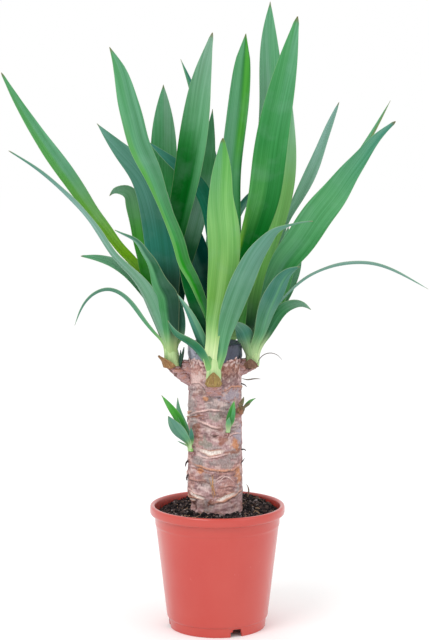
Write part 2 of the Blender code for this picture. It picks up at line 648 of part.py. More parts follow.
def make_blade(name, start, leaf, stations, finish="leaf"):
    """One leaf: a long blade, folded along its rib, that ends in a sharp tip."""
    width, widest, faces_to, twist, fold, points = leaf
    path = smooth_path([start, *points], stations)
    verts = []
    for i, (ahead, side, out) in enumerate(blade_frames(path, faces_to, twist)):
        share = i / (stations - 1)
        half = max(BLADE_TIP_HALF_WIDTH, 0.5 * width * blade_width(share, widest))
        bend = math.radians(fold * (BLADE_BASE_FOLD + (BLADE_TIP_FOLD - BLADE_BASE_FOLD) * share))
        rib = 0.5 * (BLADE_RIB_THICKNESS * (1.0 - share) + BLADE_EDGE_THICKNESS * share)
        rim = 0.5 * BLADE_EDGE_THICKNESS
        left = path[i] - side * half * math.cos(bend) + out * half * math.sin(bend)
        right = path[i] + side * half * math.cos(bend) + out * half * math.sin(bend)
        verts += [left - out * rim, path[i] - out * rib, right - out * rim,
                  right + out * rim, path[i] + out * rib, left + out * rim]
    faces = []
    for i in range(stations - 1):
        low = 6 * i
        high = low + 6
        for a, b in ((0, 1), (5, 4), (2, 1), (3, 4), (0, 5), (2, 3)):
            faces += [(low + a, low + b, high + b), (low + a, high + b, high + a)]
    for end in (0, 6 * (stations - 1)):
        for corners in ((0, 1, 5), (1, 4, 5), (1, 2, 3), (1, 3, 4)):
            faces.append(tuple(end + c for c in corners))
    return add_object(name, verts, faces, finish)


def make_head(name):
    """A head: its leaves, fused round the short core that their bases make."""
    crown, above, core = CROWNS[name]
    rings = []
    for share, taper in CORE_TAPER:
        middle = [crown[i] + (above[i] - crown[i]) * share for i in range(3)]
        rings.append(circle(middle[:2], core * taper, middle[2], CORE_SIDES))
    head = add_object("head_" + name, *loft(rings), "leaf")
    start = [crown[i] + (above[i] - crown[i]) * LEAF_START for i in range(3)]
    blades = [make_blade("blade", start, leaf, BLADE_STATIONS) for leaf in LEAVES[name]]
    join_in_union(head.name, head, blades)


def make_shoot(name, node, finish):
    """A side shoot: a few young leaves on a small round base."""
    (x, y, z), radius = SHOOT_SEATS[name]
    rings = []
    for outward, taper, rise in ((1.0, 0.9, 0.0), (1.03, 0.95, 3.0), (1.06, 0.5, 7.0)):
        rings.append(circle((x * outward, y * outward), radius * taper, z + rise, SEAT_SIDES))
    shoot = add_object(node, *loft(rings), finish)
    start = (x * 1.02, y * 1.02, z + 2.0)
    blades = [make_blade("blade", start, leaf, SHOOT_STATIONS, finish) for leaf in SHOOTS[name]]
    join_in_union(node, shoot, blades)


def make_bract(name):
    """A dry sheath scale that wraps part of a crown and ends in a point."""
    crown = CROWNS[name][0]
    middle, half_width, steps = BRACTS[name]
    rows = []
    last = len(BRACT_ACROSS) - 1
    for share in BRACT_ROWS:
        reach = np.interp(share, (0.0, 0.5, 1.0), [step[0] for step in steps])
        height = np.interp(share, (0.0, 0.5, 1.0), [step[1] for step in steps])
        spread = half_width * (1.0 - share ** 1.6) + BRACT_TIP_SPREAD
        row = []
        for radius in (reach, reach + BRACT_THICKNESS):
            for across in BRACT_ACROSS:
                angle = math.radians(middle + spread * across)
                row.append((crown[0] + radius * math.cos(angle), crown[1] + radius * math.sin(angle),
                            crown[2] + height))
        rows.append(row[:last + 1] + row[:last:-1])
    verts, faces = sleeve(rows)
    count = len(rows[0])
    for start in (0, len(verts) - count):
        for i in range(last):
            inner, outer = start + i, start + count - 1 - i
            faces.append((inner, inner + 1, outer - 1, outer))
    add_object("bract_" + name, verts, faces, "sheath")


def main():
    clear_scene()
    make_pot()
    make_soil()
    make_cane()
    make_wax()
    for name in LEAVES:
        make_head(name)
    make_shoot("left", "shoot_left", "leaf")
    make_shoot("front", "shoot_front", "leaf")
    make_shoot("right", "bud_right", "sheath")
    for name in BRACTS:
        make_bract(name)


main()
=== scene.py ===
"""A potted yucca, dressed for the camera in the order in which it is put together.

Sizes are in millimetres, from the middle of the pot's foot, with +Z up and -Y towards the camera.
Azimuths are degrees anticlockwise from +X, seen from above.
"""
import math

import bmesh
import bpy
import numpy as np
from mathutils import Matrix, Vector, noise


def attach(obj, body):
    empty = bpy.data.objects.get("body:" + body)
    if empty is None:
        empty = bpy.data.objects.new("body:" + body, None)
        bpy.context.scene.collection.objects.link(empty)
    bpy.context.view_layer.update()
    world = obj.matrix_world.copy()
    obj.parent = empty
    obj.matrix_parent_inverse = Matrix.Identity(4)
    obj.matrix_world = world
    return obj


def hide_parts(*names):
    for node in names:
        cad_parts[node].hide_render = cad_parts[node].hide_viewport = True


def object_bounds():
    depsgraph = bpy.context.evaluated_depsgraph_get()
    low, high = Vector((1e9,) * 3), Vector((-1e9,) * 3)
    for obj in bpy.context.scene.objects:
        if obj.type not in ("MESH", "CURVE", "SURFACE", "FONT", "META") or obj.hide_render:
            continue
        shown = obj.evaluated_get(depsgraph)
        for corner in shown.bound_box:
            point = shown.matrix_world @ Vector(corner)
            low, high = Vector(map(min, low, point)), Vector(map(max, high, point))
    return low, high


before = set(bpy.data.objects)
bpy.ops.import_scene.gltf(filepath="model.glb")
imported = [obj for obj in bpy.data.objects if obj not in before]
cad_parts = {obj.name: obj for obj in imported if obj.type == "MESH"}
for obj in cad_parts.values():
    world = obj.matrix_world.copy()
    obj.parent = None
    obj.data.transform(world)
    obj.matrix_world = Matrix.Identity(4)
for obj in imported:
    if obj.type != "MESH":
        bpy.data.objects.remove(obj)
cad_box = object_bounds()

# The nursery pot is one injection moulding in terracotta-coloured plastic, 14 cm across its rolled rim.
# The wall thins below a faint shoulder where empty pots nest, and the foot ring has drain notches
# that the mould leaves open, each with a stepped left top corner and a slanted right side.
MM = 0.001
POT_SIDES = 240
# The outline goes from the axis out under the floor, up the outside, over the rim and back inside:
# radius, height, and how far each corner is rounded off.
POT_OUTLINE = (
    (0.0, 10.0, 0.0), (48.2, 10.0, 0.6), (47.8, 0.0, 0.5), (50.0, 0.0, 0.7), (50.8, 9.6, 0.4),
    (52.6, 11.2, 1.4), (63.9, 106.6, 1.0), (64.7, 108.4, 1.0), (65.0, 118.3, 0.9), (68.9, 118.7, 1.5),
    (70.0, 121.0, 1.2), (69.9, 128.3, 3.4), (65.2, 128.3, 2.2), (63.5, 118.0, 1.0), (63.3, 108.4, 0.8),
    (62.4, 106.8, 0.8), (51.0, 12.8, 1.2), (49.6, 11.6, 0.8), (0.0, 11.6, 0.0),
)
NOTCH_AZIMUTHS = (-67.0, -172.0, 60.0)
NOTCH_OUTLINE = ((-6.5, -2.0), (-6.5, 5.6), (-4.4, 5.6), (-4.4, 8.2), (4.6, 8.2), (6.8, -2.0))
NOTCH_REACH = (42.0, 55.0)
DRAIN_HOLES = 5
DRAIN_HOLE_RADIUS = 4.0
DRAIN_CIRCLE_RADIUS = 30.0
DRILL_ENDS = (7.0, 15.0)
DRILL_SIDES = 20
POT_CREASE = 40.0
INNER_WALL = 63.7
INNER_WALL_LEAN = 0.19
LEANS_FROM = 116.0
SOILED_FROM = 108.0
SOILED_TO = 126.5
POT_RED = (187, 47, 33)
POT_PINK = (191, 62, 48)
POT_DUST = (222, 150, 140)
POT_SOILED = (92, 44, 34)


def paint(red, green, blue):
    """A colour as read off a screen, turned into the linear light that a shader works in."""
    linear = []
    for level in (red, green, blue):
        share = level / 255.0
        linear.append(share / 12.92 if share <= 0.04045 else ((share + 0.055) / 1.055) ** 2.4)
    return (*linear, 1.0)


class Finish:
    """A surface recipe: a material and short calls for the nodes that it is mixed from.

    Settings are constants on the shader's own sockets, with _ for each space in a socket's name.
    """

    def __init__(self, name, **settings):
        self.material = bpy.data.materials.new(name)
        self.material.use_nodes = True
        self.tree = self.material.node_tree
        self.shader = self.tree.nodes["Principled BSDF"]
        for key, value in settings.items():
            self.shader.inputs[key.replace("_", " ")].default_value = value

    def add(self, kind, **settings):
        made = self.tree.nodes.new(kind)
        for key, value in settings.items():
            setattr(made, key, value)
        return made

    def plug(self, value, socket):
        if isinstance(value, bpy.types.NodeSocket):
            self.tree.links.new(value, socket)
        else:
            socket.default_value = value

    def grain(self, scale, detail, stretch=(1.0, 1.0, 1.0), where=None):
        """Cloudy noise from 0 to 1, drawn out along an axis where its stretch is small."""
        place = where or self.add("ShaderNodeTexCoord").outputs["Object"]
        mapping = self.add("ShaderNodeMapping")
        mapping.inputs["Scale"].default_value = stretch
        self.plug(place, mapping.inputs["Vector"])
        made = self.add("ShaderNodeTexNoise")
        self.plug(mapping.outputs["Vector"], made.inputs["Vector"])
        made.inputs["Scale"].default_value = scale
        made.inputs["Detail"].default_value = detail
        return made.outputs["Fac"]

    def spread(self, value, low, high, to_low=0.0, to_high=1.0):
        """Map the part of a value between low and high to a new range."""
        made = self.add("ShaderNodeMapRange")
        for socket, setting in zip(made.inputs, (value, low, high, to_low, to_high)):
            self.plug(setting, socket)
        return made.outputs["Result"]

    def times(self, first, second):
        made = self.add("ShaderNodeMath", operation="MULTIPLY")
        self.plug(first, made.inputs[0])
        self.plug(second, made.inputs[1])
        return made.outputs["Value"]

    def mix(self, amount, low, high, mode="MIX"):
        made = self.add("ShaderNodeMix", data_type="RGBA", blend_type=mode)
        self.plug(amount, made.inputs[0])
        self.plug(low, made.inputs[6])
        self.plug(high, made.inputs[7])
        return made.outputs[2]

    def touch(self, under, tone, value, low, high, share=1.0, mode="MIX"):
        """Work a tone into a colour as a value goes from low to high, up to a share of it."""
        return self.mix(self.spread(value, low, high, 0.0, share), under, tone, mode)

    def drawn(self, name, colour=False):
        """A value or colour that the mesh carries on its points."""
        made = self.add("ShaderNodeAttribute", attribute_name=name)
        return made.outputs["Color" if colour else "Fac"]

    def bump(self, height, depth, strength=1.0, under=None):
        made = self.add("ShaderNodeBump")
        made.inputs["Strength"].default_value = strength
        made.inputs["Distance"].default_value = depth * MM
        self.plug(height, made.inputs["Height"])
        if under is not None:
            self.plug(under, made.inputs["Normal"])
        return made.outputs["Normal"]

    def coat(self, colour=None, roughness=None, normal=None):
        """Put the mixed colour, roughness and relief on the shader."""
        for value, name in ((colour, "Base Color"), (roughness, "Roughness"), (normal, "Normal")):
            if value is not None:
                self.plug(value, self.shader.inputs[name])
        return self.material


def piece_from(name, verts, faces, finish, crease):
    """A mesh piece from points in millimetres."""
    mesh = bpy.data.meshes.new(name)
    mesh.from_pydata((np.asarray(verts, dtype=float) * MM).tolist(), [], faces)
    mesh.validate()
    mesh.materials.append(finish)
    made = bpy.data.objects.new(name, mesh)
    bpy.context.scene.collection.objects.link(made)
    mesh.shade_smooth()
    mesh.set_sharp_from_angle(angle=math.radians(crease))
    return made


def write_points(mesh, name, values):
    """Store one value, or one colour, for each point of a mesh."""
    values = np.asarray(values, dtype=np.float32)
    if values.ndim == 1:
        mesh.attributes.new(name, "FLOAT", "POINT").data.foreach_set("value", values)
    else:
        mesh.attributes.new(name, "FLOAT_COLOR", "POINT").data.foreach_set("color", values.ravel())


def settle(made, slot, *nodes):
    """Fix a piece to the plant and let it stand for the plain solids it covers; the slot is not used."""
    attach(made, "root")
    if nodes:
        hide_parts(*nodes)


def rounded(outline, steps=4):
    """An outline of (radius, height, corner radius) points with each corner turned into a short arc."""
    result = []
    for i, (radius, height, round_by) in enumerate(outline):
        here = np.array((radius, height))
        if round_by == 0.0:
            result.append(here)
            continue
        before = np.array(outline[i - 1][:2]) - here
        after = np.array(outline[(i + 1) % len(outline)][:2]) - here
        first = here + before * min(0.48, round_by / np.linalg.norm(before))
        last = here + after * min(0.48, round_by / np.linalg.norm(after))
        for step in range(steps + 1):
            t = step / steps
            result.append(first * (1 - t) ** 2 + here * 2 * t * (1 - t) + last * t * t)
    return result


def ring_faces(rings, sides):
    """Quads between rings of points, each ring joined to the next one."""
    faces = []
    for low in range(0, (rings - 1) * sides, sides):
        for j in range(sides):
            k = (j + 1) % sides
            faces.append((low + j, low + k, low + sides + k, low + sides + j))
    return faces


def tube_faces(rings, sides):
    """Quads between rings of points, with a flat face over each end."""
    first, last = range(sides), range((rings - 1) * sides, rings * sides)
    return ring_faces(rings, sides) + [tuple(first)[::-1], tuple(last)]


def ring_angles(sides):
    """Even angles for the points of a ring."""
    return [math.tau * j / sides for j in range(sides)]


def around(reach, angle, height, middle=(0.0, 0.0)):
    """The point at a reach and an angle round an upright axis."""
    return middle[0] + reach * math.cos(angle), middle[1] + reach * math.sin(angle), height


def turned(outline, sides):
    """Turn a rounded outline, that starts and ends on the axis, round the pot's axis."""
    ring = rounded(outline)
    inner = ring[1:-1]
    verts = [around(r, a, z) for r, z in inner for a in ring_angles(sides)]
    faces = ring_faces(len(inner), sides)
    for row, point in ((0, ring[0]), (len(inner) - 1, ring[-1])):
        verts.append((0.0, 0.0, point[1]))
        hub = len(verts) - 1
        start = row * sides
        for j in range(sides):
            rim = (start + j, start + (j + 1) % sides)
            faces.append((rim[1], rim[0], hub) if row == 0 else (rim[0], rim[1], hub))
    return verts, faces


def notch_block(azimuth):
    """A block with the notch's outline that reaches through the foot ring."""
    angle = math.radians(azimuth)
    out = (math.cos(angle), math.sin(angle))
    verts = [(out[0] * reach - out[1] * across, out[1] * reach + out[0] * across, height)
             for reach in NOTCH_REACH for across, height in NOTCH_OUTLINE]
    return verts, [face[::-1] for face in tube_faces(len(NOTCH_REACH), len(NOTCH_OUTLINE))]


def drain_drill(angle):
    """A round bar through the pot's floor, on the circle of drain holes."""
    middle = around(DRAIN_CIRCLE_RADIUS, angle, 0.0)
    verts = [around(DRAIN_HOLE_RADIUS, a, z, middle) for z in DRILL_ENDS for a in ring_angles(DRILL_SIDES)]
    return verts, tube_faces(len(DRILL_ENDS), DRILL_SIDES)


def cut(made, cutters):
    """Cut the pot once for each block, then drop the block."""
    for verts, faces in cutters:
        block = piece_from("pot_cutter", verts, faces, made.data.materials[0], POT_CREASE)
        hole = made.modifiers.new("hole", "BOOLEAN")
        hole.operation = "DIFFERENCE"
        hole.object = block
        bpy.context.view_layer.update()
        shaped = made.evaluated_get(bpy.context.evaluated_depsgraph_get())
        result = bpy.data.meshes.new_from_object(shaped)
        made.modifiers.clear()
        made.data = result
        bpy.data.objects.remove(block, do_unlink=True)


moulded = Finish("terracotta_plastic", Roughness=0.4, IOR=1.5, Coat_Weight=0.8, Coat_Roughness=0.22)
cloud = moulded.grain(14.0, 4.0)
streak = moulded.grain(60.0, 3.0, (1.0, 1.0, 0.12))
scuff = moulded.grain(340.0, 6.0, (1.0, 1.0, 0.5))
dirt = moulded.times(moulded.drawn("soiling"), moulded.spread(moulded.grain(420.0, 8.0), 0.42, 0.56))
pot_colour = moulded.touch(paint(*POT_RED), paint(*POT_PINK), cloud, 0.35, 0.7)
pot_colour = moulded.touch(pot_colour, paint(*POT_PINK), streak, 0.5, 0.8, 0.35)
pot_colour = moulded.touch(pot_colour, paint(*POT_DUST), scuff, 0.68, 0.85, 0.22)
pot_colour = moulded.mix(dirt, pot_colour, paint(*POT_SOILED))
pot_skin = moulded.bump(moulded.grain(900.0, 2.0), 0.03, 0.5)
moulded.coat(pot_colour, moulded.spread(streak, 0.3, 0.8, 0.34, 0.5), pot_skin)

pot = piece_from("pot_moulding", *turned(POT_OUTLINE, POT_SIDES), moulded.material, POT_CREASE)
drain_angles = [math.tau * (step + 0.5) / DRAIN_HOLES for step in range(DRAIN_HOLES)]
cut(pot, [notch_block(azimuth) for azimuth in NOTCH_AZIMUTHS] + [drain_drill(a) for a in drain_angles])
pot.data.shade_smooth()
pot.data.set_sharp_from_angle(angle=math.radians(POT_CREASE))
pot_x, pot_y, pot_z = (np.array([v.co for v in pot.data.vertices]) / MM).T
splashed = np.clip((pot_z - SOILED_FROM) / 2.0, 0.0, 1.0) * np.clip((SOILED_TO - pot_z) / 5.0, 0.0, 1.0)
inner_wall = np.hypot(pot_x, pot_y) < INNER_WALL + INNER_WALL_LEAN * np.maximum(0.0, pot_z - LEANS_FROM)
write_points(pot.data, "soiling", np.where(inner_wall, splashed, 0.0))
settle(pot, "pot", "pot")

# The compost is a peat mix that fills the pot to a finger's width below the rim. It is heaped against
# the wall at the right back, where it was poured in, and its surface is a loose crumb of peat,
# bark bits and pale root threads, which lie where they fell.
SOIL_LEVEL = 118.0
SOIL_HEAP = 5.0
SOIL_BACK_RISE = 13.0
SOIL_BACK_AZIMUTH = 75.0
SOIL_EDGE = 63.0
CANE_RADIUS = 28.0
SOIL_INNER = CANE_RADIUS - 6.0
PEAT = (36, 30, 32)
PEAT_BROWN = (72, 56, 54)
PEAT_GREY = (98, 90, 94)
SOIL_ROWS = 64
SOIL_CREASE = 180.0
CRUMB_CREASE = 60.0
SOIL_COLUMNS = 300
SOIL_UNDERSIDE = ((SOIL_EDGE, 109.0), (62.0, 106.8), (50.6, 14.0), (49.0, 12.2))
CRUMB_BLACK = (18, 14, 13)
CRUMB_TONES = ((24, 20, 22), (42, 34, 35), (68, 54, 52), (94, 78, 74), (124, 110, 108), (156, 146, 146))
THREAD_COUNT = 70
THREAD_STEPS = 9
THREAD_STEP = 1.7
THREAD_TONE = (196, 160, 128)


def soil_height(share, azimuth):
    """Height of the compost: share runs from 0 at the cane to 1 at the pot."""
    heap = SOIL_HEAP * np.exp(-((share / 0.3) ** 2))
    facing = np.maximum(0.0, np.cos(azimuth - math.radians(SOIL_BACK_AZIMUTH)))
    return SOIL_LEVEL + heap + SOIL_BACK_RISE * facing * share * (1.5 - share)


def lumps(x, y, z, size):
    """Smooth noise from -1 to 1, with lumps about as wide as the size in millimetres."""
    return noise.noise((x / size, y / size, z / size))


def surface_height(x, y):
    """The crumbly surface of the compost at a place in plan."""
    reach = math.hypot(x, y)
    azimuth = math.atan2(y, x)
    share = min(1.0, max(0.0, (reach - CANE_RADIUS) / (SOIL_EDGE - CANE_RADIUS)))
    level = float(soil_height(share, azimuth))
    level += 1.3 * lumps(x, y, 0.0, 13.0) + 1.0 * lumps(x, y, 7.0, 5.0) + 0.9 * abs(lumps(x, y, 3.0, 2.2))
    return level


peat = Finish("peat_compost", Roughness=0.95, Specular_IOR_Level=0.25)
crumb_grain = peat.grain(520.0, 8.0)
peat_colour = peat.touch(paint(*PEAT), paint(*PEAT_BROWN), crumb_grain, 0.45, 0.62)
peat_colour = peat.touch(peat_colour, paint(*PEAT_GREY), peat.grain(900.0, 4.0), 0.64, 0.72)
peat.coat(peat_colour, None, peat.bump(crumb_grain, 1.2, 0.9))

bed = []
for i in range(SOIL_ROWS):
    reach = SOIL_INNER + (SOIL_EDGE - SOIL_INNER) * i / (SOIL_ROWS - 1)
    for angle in ring_angles(SOIL_COLUMNS):
        x, y, _ = around(reach, angle, 0.0)
        bed.append((x, y, surface_height(x, y)))
bed += [around(reach, angle, height)
        for reach, height in SOIL_UNDERSIDE for angle in ring_angles(SOIL_COLUMNS)]
bed_faces = [face[::-1] for face in tube_faces(SOIL_ROWS + len(SOIL_UNDERSIDE), SOIL_COLUMNS)]
compost = piece_from("compost_bed", bed, bed_faces, peat.material, SOIL_CREASE)
settle(compost, "soil", "soil")


def dyed(points, tone, shade=1.0):
    """One colour for all of a set of points, darker where its shade is below 1."""
    return np.tile(np.array(paint(*tone)) * (shade, shade, shade, 1.0), (len(points), 1))


def scattered(rng, count, place, sizes, tones, detail):
    """Crumbs as rough little stones, each turned, squashed and coloured by its own draw."""
    ball = bmesh.new()
    bmesh.ops.create_icosphere(ball, subdivisions=detail, radius=1.0)
    points = np.array([v.co for v in ball.verts])
    triangles = np.array([[v.index for v in f.verts] for f in ball.faces])
    ball.free()
    verts, faces, colours = [], [], []
    for k in range(count):
        x, y = place(rng)
        size = rng.uniform(*sizes) * rng.uniform(0.5, 1.0)
        squash = rng.uniform(0.45, 1.0, 3)
        shape = points * squash * (1.0 + rng.uniform(-0.28, 0.28, (len(points), 1)))
        spin, tip = rng.uniform(0.0, math.tau, 2)
        turn = np.array(((math.cos(spin), -math.sin(spin), 0.0), (math.sin(spin), math.cos(spin), 0.0),
                         (0.0, 0.0, 1.0)))
        lean = np.array(((1.0, 0.0, 0.0), (0.0, math.cos(tip), -math.sin(tip)),
                         (0.0, math.sin(tip), math.cos(tip))))
        shape = shape @ lean.T @ turn.T * size
        shape += (x, y, surface_height(x, y) + size * 0.25)
        faces += (triangles + len(verts) * len(points)).tolist()
        verts.append(shape)
        colours.append(dyed(points, tones[min(len(tones) - 1, int(rng.random() ** 1.7 * len(tones)))]))
    return np.concatenate(verts), faces, np.concatenate(colours)


def on_the_bed(rng):
    """A place in plan anywhere on the compost, between the cane and the pot."""
    reach = rng.uniform(CANE_RADIUS + 1.0, SOIL_EDGE - 1.2)
    return around(reach, rng.uniform(0.0, math.tau), 0.0)[:2]


def on_the_heap(rng):
    """A place in plan on the heap at the back."""
    reach = rng.uniform(40.0, SOIL_EDGE - 1.0)
    return around(reach, math.radians(rng.normal(SOIL_BACK_AZIMUTH, 24.0)), 0.0)[:2]


def join_sets(*sets):
    """Several sets of (points, faces, colours) as one."""
    verts, faces, colours = [], [], []
    count = 0
    for points, some, tones in sets:
        faces += [tuple(int(i) + count for i in face) for face in some]
        verts.append(points)
        colours.append(tones)
        count += len(points)
    return np.concatenate(verts), faces, np.concatenate(colours)


def thread(points, radius, sides=5):
    """A thin tube through the points, that tapers to both ends."""
    points = np.asarray(points, dtype=float)
    along = np.gradient(points, axis=0)
    verts = []
    for i, (point, step) in enumerate(zip(points, along)):
        ahead = step / np.linalg.norm(step)
        across = np.cross(ahead, (0.0, 0.0, 1.0) if abs(ahead[2]) < 0.9 else (1.0, 0.0, 0.0))
        across /= np.linalg.norm(across)
        up = np.cross(across, ahead)
        taper = radius * (0.25 + 0.75 * math.sin(math.pi * (i + 0.5) / len(points)))
        for a in ring_angles(sides):
            verts.append(point + taper * (across * math.cos(a) + up * math.sin(a)))
    return np.array(verts), tube_faces(len(points), sides)


def lying_threads(rng, count):
    """Root threads that wander over the compost."""
    sets = []
    for k in range(count):
        x, y = on_the_bed(rng)
        heading = rng.uniform(0.0, math.tau)
        route = []
        for step in range(THREAD_STEPS):
            heading += rng.normal(0.0, 0.35)
            x, y, _ = around(THREAD_STEP, heading, 0.0, (x, y))
            reach = math.hypot(x, y)
            if reach > SOIL_EDGE - 1.5 or reach < CANE_RADIUS - 1.0:
                break
            route.append((x, y, surface_height(x, y) + 0.5 + 0.8 * math.sin(step * 0.8 + k)))
        if len(route) > 3:
            points, faces = thread(route, rng.uniform(0.2, 0.45))
            sets.append((points, faces, dyed(points, THREAD_TONE, rng.uniform(0.55, 1.0))))
    return sets


def toned_piece(name, skins, finish, crease):
    """Join skins of (points, faces, colours) in one piece that carries their colours."""
    verts, faces, tones = join_sets(*[skin[:3] for skin in skins])
    made = piece_from(name, verts, faces, finish, crease)
    write_points(made.data, "tone", tones)
    return made


# Loose crumbs: how many, where, smallest and largest size, tones, and how many times each is subdivided.
CRUMBS = (
    (1500, on_the_bed, (0.8, 2.3), CRUMB_TONES, 1),
    (260, on_the_bed, (1.6, 3.6), CRUMB_TONES[:4], 2),
    (420, on_the_heap, (1.0, 3.2), CRUMB_TONES[:5], 2),
)
draw = np.random.default_rng(11)
loose = [scattered(draw, *row) for row in CRUMBS] + lying_threads(draw, THREAD_COUNT)
crumbly = Finish("loose_crumbs", Roughness=0.95, Specular_IOR_Level=0.25)
crumb_speck = crumbly.grain(700.0, 4.0)
crumb_colour = crumbly.touch(crumbly.drawn("tone", True), paint(*CRUMB_BLACK), crumb_speck, 0.4, 0.7, 0.5)
crumbly.coat(crumb_colour, None, crumbly.bump(crumbly.grain(1500.0, 4.0), 0.3, 0.7))
crumbs = toned_piece("compost_crumbs", loose, crumbly.material, CRUMB_CREASE)
settle(crumbs, "soil")

# The cane is a sawn length of trunk, 56 mm thick. Its bark is a stack of old leaf scars: bands about
# 22 mm apart, torn along their edges, with pale splits, pink and orange torn lips and a fine upright
# fibre. Four short branch stubs grow out of it, and it stands planted in the compost.
CANE_X = -2.5
CANE_TOP = 296.6
CANE_FOOT = 108.0
CANE_TAPER = 1.6
CANE_SWELL = 0.6
CANE_FLARE = 1.2
FLARE_HEIGHT = 6.0
UNDER_WAX = (284.0, 290.0)
UNDER_WAX_RADIUS = CANE_RADIUS - 1.8
WIDE_LUMPS = 16.0
MIDDLE_LUMPS = 6.0
FINE_LUMPS = 2.4
CROWN_ZONE = (258.0, 266.0)
CANE_CREASE = 70.0
CANE_COLUMNS = 250
CANE_ROWS = 262
BARK_LIGHT = (232, 208, 204)
BARK_SHADE = (120, 90, 90)
BARK_BASE = (182, 147, 148)
BARK_GREY = (152, 146, 144)
BARK_PINK = (190, 142, 132)
BARK_DARK = (112, 84, 78)
BARK_PALE = (214, 192, 186)
LIP_PINK = (236, 202, 196)
LIP_ORANGE = (214, 156, 128)
SPLIT_WHITE = (246, 238, 230)
RUST = (150, 92, 66)
ORANGE = (214, 140, 76)
CRACK_DARK = (84, 58, 52)
GREEN_GREY = (140, 146, 134)
BLUE_GREY = (166, 168, 184)
CROWN_CREVICE = (112, 58, 54)
FIBRE_TINT = (196, 184, 180)
SPECK_DARK = (122, 92, 84)
SPECK_LIGHT = (220, 202, 192)
SCAR_SPACING = 22.0
SCAR_STEPS = (142.0, 161.5, 174.0, 190.0, 212.0, 231.0, 250.0, 268.0)
LOWEST_REAR_SCAR = 139.0
REAR_SCARS = 7
FOOT_DENT = 6.0
DENT_HEIGHT = 127.0
DENT_REACH = 8.0
GRAIN_ON_STUBS = 0.03

# Marks on the bark: colour, thickness, relief, and the (azimuth, height) points that they run through.
LIPS = (
    (LIP_PINK, 1.5, 1.0, ((-160, 224), (-127, 229), (-105, 232), (-88, 232), (-68, 230))),
    (LIP_PINK, 1.9, 1.1, ((-130, 220), (-110, 217.5), (-92, 214.5), (-75, 213))),
    (LIP_ORANGE, 1.7, 0.9, ((-150, 175), (-114, 172), (-88, 169.5), (-50, 168.4), (-20, 172))),
    (BARK_PINK, 1.6, 0.8, ((-169, 157.5), (-130, 158), (-107, 158))),
    (LIP_PINK, 0.9, 0.9, ((-92, 157), (-84, 161), (-75, 163), (-61, 161.7), (-50, 157))),
    (LIP_PINK, 1.2, 0.8, ((-156, 256), (-145, 258), (-124, 259), (-112, 255), (-104, 247))),
    (LIP_ORANGE, 1.1, 0.7, ((-80, 250), (-66, 252), (-51, 255), (-13, 253), (10, 250))),
    (LIP_PINK, 1.0, 0.7, ((-60, 229), (-40, 233), (-15, 231))),
    (LIP_PINK, 1.0, 0.6, ((-70, 203), (-50, 206), (-20, 205))),
    (LIP_PINK, 1.2, 0.8, ((-160, 146), (-150, 145.5), (-128, 144), (-108, 142))),
    (LIP_ORANGE, 1.3, 0.9, ((-92, 136), (-70, 137), (-48, 141), (-30, 144.5), (-10, 144))),
    (LIP_PINK, 1.2, 0.7, ((-125, 183.5), (-105, 182.5), (-85, 183.5), (-60, 186))),
    (BARK_PINK, 1.2, 0.7, ((-80, 151), (-60, 153), (-35, 150))),
)
SPLITS = (
    (SPLIT_WHITE, 4.6, -1.0, ((-124, 189.8), (-112, 188.4), (-100, 187.0), (-86, 188.2), (-70, 189.2))),
    (SPLIT_WHITE, 2.6, -0.8, ((-155, 143.6), (-142, 142.5), (-129, 141.0), (-112, 139.4))),
    (SPLIT_WHITE, 3.4, -0.9, ((-88, 138.4), (-76, 139.4), (-66, 141.4), (-54, 143.0), (-41, 143.8))),
)
CRACKS = (
    (CRACK_DARK, 0.9, -1.0, ((-101, 206.4), (-90, 204.6), (-80, 206.4))),
    (CRACK_DARK, 0.8, -0.9, ((-117, 254), (-107, 250), (-100, 245), (-95, 239))),
    (CRACK_DARK, 0.8, -0.9, ((-76, 253), (-81, 249), (-86, 244))),
    (CRACK_DARK, 0.7, -0.8, ((-70, 207), (-60, 209), (-52, 207))),
    (RUST, 0.8, -0.6, ((-160, 221), (-130, 224), (-112, 226))),
    (RUST, 0.8, -0.6, ((-150, 170), (-120, 168), (-95, 166))),
    (CRACK_DARK, 0.7, -0.7, ((-110, 137), (-100, 133), (-88, 134))),
)
